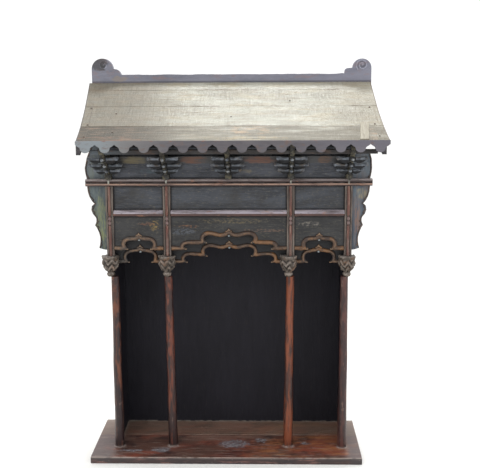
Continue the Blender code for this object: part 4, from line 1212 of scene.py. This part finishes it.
def rub_corners(shape, angle, width):
    """Rubs the corners round that are sharper than an angle."""
    corners = []
    for edge in shape.edges:
        if len(edge.link_faces) == 2 and edge.calc_face_angle() > math.radians(angle):
            corners.append(edge)
    settings = {"segments": 2, "profile": 0.6, "affect": "EDGES", "clamp_overlap": True}
    bmesh.ops.bevel(shape, geom=corners, offset=width, **settings)


shape = bmesh.new()
shape.from_mesh(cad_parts["fascia_board"].data)
bmesh.ops.remove_doubles(shape, verts=shape.verts, dist=0.00002)
bmesh.ops.dissolve_limit(shape, angle_limit=math.radians(0.5), verts=shape.verts, edges=shape.edges)
rub_corners(shape, 50, 0.0012)
shrine_piece("scalloped_board", shape, eave_wood, ["fascia_board"], 35)


# The roof: four wide planks laid side by side up a hollow curve, nailed to the board under each end
# of the roof; pale bare wood with a little old polish left, rusty and dark along the eave.
roof_width = 0.879
eave_slope = 0.29
roof_rise = 0.159
plank_thickness = 0.012
eave_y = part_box("roof_plank_eave")[0].y
ridge_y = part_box("ridge_board")[0].y + 0.003
eave_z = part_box("fascia_board")[1].z
eave_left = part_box("roof_plank_eave")[1].x - roof_width
ridge_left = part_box("roof_plank_ridge")[0].x
lean = (ridge_left - eave_left) / (ridge_y - eave_y)

roof_wood = Finish("roof_wood", (161, 161, 148), 0.36, 0.55)
up_slope = worked(roof_wood.tree, "SUBTRACT", roof_wood.axes["Y"], eave_y, clamp=False)
leaning = worked(roof_wood.tree, "MULTIPLY", up_slope, lean, clamp=False)
from_left = worked(roof_wood.tree, "SUBTRACT", roof_wood.axes["X"], leaning, clamp=False)
from_left = worked(roof_wood.tree, "SUBTRACT", from_left, eave_left, clamp=False)


def from_end(low, high):
    """A mask that rises between two distances from the roof's left end, which leans."""
    return between(roof_wood.tree, from_left, low, high)


grain = roof_wood.grain(9, 2.8, (1, 11, 4))
roof_wood.coat(grain, (126, 120, 104), 0.8)
fine = roof_wood.grain(42, 3.0, (1, 14, 5))
roof_wood.coat(fine, (104, 98, 84), 0.65)
roof_wood.coat(roof_wood.patches(5, 0.45, 0.2, (1, 3, 1.5)), (184, 184, 174), 0.62, 0.30)
roof_wood.coat(roof_wood.patches(9, 0.34, 0.10, (1, 5, 2)), (157, 144, 114), 0.5)
cross = roof_wood.grain(12, 3.2, (16, 1.2, 1.2))
scraped = roof_wood.patches(7, 0.46, 0.08, (1, 1.4, 1))
left_third = from_end(0.34, 0.12)
streaks = roof_wood.patches(20, 0.36, 0.08, (1, 12, 5))
roof_wood.coat(streaks, (132, 118, 96), 0.55)
scratches = roof_wood.patches(17, 0.34, 0.07, (9, 1.3, 1))
roof_wood.coat((scratches, left_third), (84, 78, 68), 0.6)
roof_wood.coat((cross, roof_wood.either(scraped, left_third)), (98, 92, 80), 0.60)
# Greyed wood and painted shade: the left third is darker and rougher where the roof's sheen falls off, and
# the lowest plank is darkest at that end.
roof_wood.coat(left_third, (96, 91, 80), 0.70, 0.56)
blotched = roof_wood.patches(16, 0.46, 0.12, (1, 3, 2))
roof_wood.coat((blotched, left_third), (116, 104, 86), 0.55)
roof_wood.coat(from_end(0.66, 0.86), (138, 130, 114), 0.45, 0.46)
plank_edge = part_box("roof_plank_eave")[1].y
lowest = roof_wood.along("Y", plank_edge + 0.004, plank_edge - 0.002)
stained = roof_wood.patches(6, 0.66, 0.14, (1, 9, 3))
roof_wood.coat((lowest, stained), (86, 78, 62), 0.76, 0.54)
roof_wood.coat((lowest, left_third), (44, 40, 34), 0.68, 0.65)
roof_wood.coat((lowest, left_third, streaks), (132, 110, 92), 0.65)
for name in ("lower", "upper", "ridge"):
    seam_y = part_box("roof_plank_" + name)[0].y
    seam = roof_wood.band("Y", seam_y - 0.0060, seam_y - 0.0020, seam_y + 0.0060, seam_y + 0.0020)
    roof_wood.coat((seam, scraped), (112, 100, 84), 0.55)
rust = roof_wood.patches(24, 0.42, 0.08, (1, 3, 2))
rusted = (
    ((0.085, eave_y + 0.075, 1.012), (0.090, 0.034, 0.05), (172, 144, 112)),
    ((-0.330, eave_y + 0.010, 0.99), (0.120, 0.026, 0.05), (120, 86, 66)),
    ((0.040, eave_y + 0.020, 0.99), (0.150, 0.020, 0.05), (156, 138, 100)),
    ((0.425, eave_y + 0.040, 1.0), (0.014, 0.06, 0.06), (150, 124, 98)),
)
for centre, reach, colour in rusted:
    roof_wood.coat((roof_wood.spot(centre, reach, 1.2), rust), colour, 0.6)
joint = roof_wood.both(from_end(0.0215, 0.0228), from_end(0.0255, 0.0242))
roof_wood.coat((joint, roof_wood.along("Y", eave_y + 0.24, eave_y + 0.20)), (84, 76, 66), 0.7)
roof_wood.coat(from_end(0.0045, 0.0015), (74, 70, 68), 0.75, 0.6)
roof_wood.coat(from_end(roof_width - 0.0040, roof_width - 0.0010), (96, 78, 66), 0.7, 0.6)
cleat = from_end(roof_width - 0.0145, roof_width - 0.0130)
cleat = roof_wood.both(cleat, from_end(roof_width - 0.0105, roof_width - 0.0120))
roof_wood.coat((cleat, scraped), (112, 96, 78), 0.6, 0.6)
edge_line = roof_wood.both(roof_wood.along("Y", eave_y + 0.004, eave_y + 0.0015), rust)
roof_wood.coat(edge_line, (120, 88, 70), 0.7)
roof_wood.relief(grain, 0.0008).relief(fine, 0.0005).relief(cross, 0.0004)


def roof_height(y):
    """The roof's upper face at a depth."""
    depth = ridge_y - eave_y
    run = y - eave_y
    return eave_z + eave_slope * run + (roof_rise - eave_slope * depth) / depth ** 2 * run ** 2


def roof_left(y):
    return eave_left + lean * (y - eave_y)


seam_gap = 0.0003
courses = 8
stations = 81
for seed, name in enumerate(("eave", "lower", "upper", "ridge")):
    low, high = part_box("roof_plank_" + name)
    start = low.y + (0.0 if name == "eave" else seam_gap)
    end = high.y - seam_gap
    depths = [start + (end - start) * i / courses for i in range(courses + 1)]
    rings = []
    for i in range(stations + 1):
        share = min(1.0, max(0.0, (i - 1) / (stations - 2)))
        inset = 0.0012 if i in (0, stations) else 0.0
        ring = []
        for j, y in enumerate(depths):
            worn = 0.0006 if j in (0, courses) else 0.0
            x = roof_left(y) + roof_width * share
            wave = noise.noise(Vector((x * 6.0, y * 14.0, seed * 3.0))) * 0.0012
            wave += noise.noise(Vector((x * 30.0, y * 60.0, seed * 3.0))) * 0.0003
            ring.append((x, y, roof_height(y) - worn - inset + wave - 0.0009))
        for y in reversed(depths):
            x = roof_left(y) + roof_width * share
            ring.append((x, y, roof_height(y) - plank_thickness + inset * 0.5))
        rings.append(ring)
    shrine_piece("roof_board_" + name, skin(rings), roof_wood, ["roof_plank_" + name], 40)
edge_wood = weathered("roof_edge_wood", (62, 60, 64), (36, 35, 38), (92, 88, 90))
edge_wood.coat(edge_wood.along("Z", eave_z - 0.030, eave_z - 0.036), (30, 30, 34), 0.6)
refinish(edge_wood, "left_bargeboard", "right_bargeboard")

strip_wood = Finish("mending_strip_wood", (150, 144, 126), 0.5)
across = strip_wood.grain(14, 3.0, (14, 2, 2))
strip_wood.coat(across, (112, 102, 86), 0.8)
strip_wood.relief(across, 0.0005)
strip_left = eave_left + 0.796
strip_width = 0.025
rings = []
for i in range(9):
    y = eave_y + 0.004 + 0.112 * i / 8
    left = strip_left + 0.10 * (y - eave_y)
    right = left + strip_width
    section = ((left, -0.002), (left, 0.0012), (left + 0.001, 0.0020))
    section += ((right - 0.001, 0.0020), (right, 0.0012), (right, -0.002))
    rings.append([(x, y, roof_height(y) + rise) for x, rise in section])
shrine_piece("mending_strip", skin(rings), strip_wood, (), 30)

iron = Finish("nail_iron", (46, 38, 34), 0.7)
iron = iron.coat(iron.patches(300, 0.5, 0.1), (92, 62, 46), 0.7)
nails = bmesh.new()
flattened = Matrix.Diagonal((1.0, 1.0, 0.3, 1.0))
nail_rows = {
    0.020: (0.205, 0.110, 0.030),
    0.098: (0.175, 0.060),
    0.440: (0.155,),
    0.620: (0.240,),
    0.855: (0.205, 0.110, 0.030),
}
for across, depths in nail_rows.items():
    for depth in depths:
        y = eave_y + depth
        place = Matrix.Translation((roof_left(y) + across, y, roof_height(y) + 0.0002))
        slope = math.atan(eave_slope + 2 * (roof_height(y) - eave_z - eave_slope * depth) / depth)
        matrix = place @ Matrix.Rotation(slope, 4, "X") @ flattened
        bmesh.ops.create_uvsphere(nails, u_segments=12, v_segments=8, radius=0.0026, matrix=matrix)
shrine_piece("roof_nails", nails, iron, (), 60)


# The ridge: a long board on edge with a scroll at each end, whose groove, a strip painted as shade,
# winds in to a raised eye; it stands on the walls at the back, grey-blue and worn uneven along its top.
ridge_wood = weathered("ridge_wood", (112, 114, 126), (84, 86, 98), (134, 134, 146))
# Pale where the raised value is mid-high: the volute's raised line, and the eye's pupil, which is a painted
# highlight.
ridge_wood.coat(ridge_wood.raised(0.55, 0.95), (152, 154, 168), 0.8)
# Painted shade: the strip beside the volute's raised line and the eye's disc are near black.
ridge_wood.coat(ridge_wood.raised(1.20, 1.60), (34, 32, 34), 0.85)
ridge_wood.coat(ridge_wood.patches(18, 0.30, 0.06, (1, 3, 3)), (126, 108, 108), 0.6)
ridge_wood.coat(ridge_wood.along("X", 0.05, 0.36), (126, 126, 142), 0.3)
low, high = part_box("ridge_board")
# Painted shadow: darker along the board's foot, where it meets the roof.
ridge_wood.coat(ridge_wood.along("Z", low.z + 0.0175, low.z + 0.0130), (58, 56, 62), 0.6)
shabby = ridge_wood.spot((low.x + 0.022, low.y, high.z - 0.016), (0.034, 0.03, 0.026), 1.2)
ridge_wood.coat(shabby, (62, 62, 64), 0.8)
faded = ridge_wood.spot((low.x + 0.085, low.y, 1.155), (0.030, 0.03, 0.010), 2.0)
ridge_wood.coat(faded, (134, 122, 108), 0.55)

front_y = low.y + 0.003
ridge_middle = (low.x + high.x) / 2
half = (high.x - low.x) / 2
left_radius = 0.0334
right_radius = 0.0290
centre_height = 0.0161
board_top = high.z - centre_height - left_radius
step_height = 0.017
step_width = 0.0245


def scroll_outline(radius, bends):
    """A right-hand end's outline from its outer foot up, round the scroll and down to the flat top."""
    centre = (half - radius, board_top + centre_height)
    points = [(half, low.z), (half, centre[1] - 0.004)]
    points += bow(centre, radius, 6, 176, 30)
    step_x = centre[0] - radius
    corner = [(step_x - x * step_width, board_top + z * step_height) for x, z in bends]
    step_top = board_top + step_height
    curve_to(points, (step_x, step_top + 0.002), (step_x - 0.001, step_top), (step_x - 0.003, step_top), 3)
    curve_to(points, *corner, (step_x - step_width, board_top), 12)
    return points


right_end = scroll_outline(right_radius, ((0.98, 1.0), (1.0, 0.75)))
left_end = scroll_outline(left_radius, ((0.60, 1.0), (0.85, 0.60)))
flat = []
first, last = right_end[-1][0], -left_end[-1][0]
for i in range(1, 90):
    x = first + (last - first) * i / 90
    worn = noise.noise(Vector((x * 18.0, 3.0, 0.0))) * 0.0012
    worn += noise.noise(Vector((x * 60.0, 7.0, 0.0))) * 0.0006
    rise = 0.0035 * max(0.0, 1.0 - abs(x - first) / 0.030) ** 2
    flat.append((x, board_top + worn - 0.0006 + rise))
outline = right_end + flat + [(-x, z) for x, z in reversed(left_end)]
shape = skin([[(ridge_middle + x, y, z) for x, z in outline] for y in (front_y, high.y)])
rub_corners(shape, 60, 0.0014)
layer = raised_layer(shape)


def volute(side, eye, turns, start, end, first_angle):
    """A raised line that winds in to the eye, with a strip beside it that is painted near black as the
    shade of a groove.
    """
    for reach_off, heft, value in ((0.0, 0.0024, 0.9), (0.0038, 0.0020, 1.7)):
        line = []
        for i in range(90):
            share = i / 89
            angle = math.radians(first_angle - 360 * turns * share)
            reach = start + (end - start) * share - reach_off
            x = eye[0] + reach * math.cos(angle)
            line.append(Vector((ridge_middle + side * x, eye[1] + reach * math.sin(angle))))
        since = len(shape.verts)
        out = 0.0018 if reach_off == 0.0 else 0.0003
        round_bead(shape, layer, line, line, front_y, heft, out)
        raise_new(shape, layer, since, lambda p: value)


left_eye = (half - left_radius - 0.004, board_top + centre_height + 0.012)
right_eye = (half - right_radius, board_top + centre_height + 0.009)
volute(-1, left_eye, 1.1, 0.0150, 0.0075, 150)
volute(1, right_eye, 1.5, 0.0185, 0.0055, 230)
for side, eye in ((-1, left_eye), (1, right_eye)):
    x = ridge_middle + side * eye[0]
    knob_on(shape, layer, (x, front_y, eye[1]), (0.0066, 0.0006, 0.0066), lambda p: 1.7)
    # The pupil is a painted highlight, pale and set up and to the right of the eye's middle.
    pupil = (x + 0.0012, front_y - 0.0004, eye[1] + 0.0014)
    knob_on(shape, layer, pupil, (0.0036, 0.0020, 0.0036), lambda p: 0.9)
shrine_piece("scrolled_ridge", shape, ridge_wood, ["ridge_board"], 40)
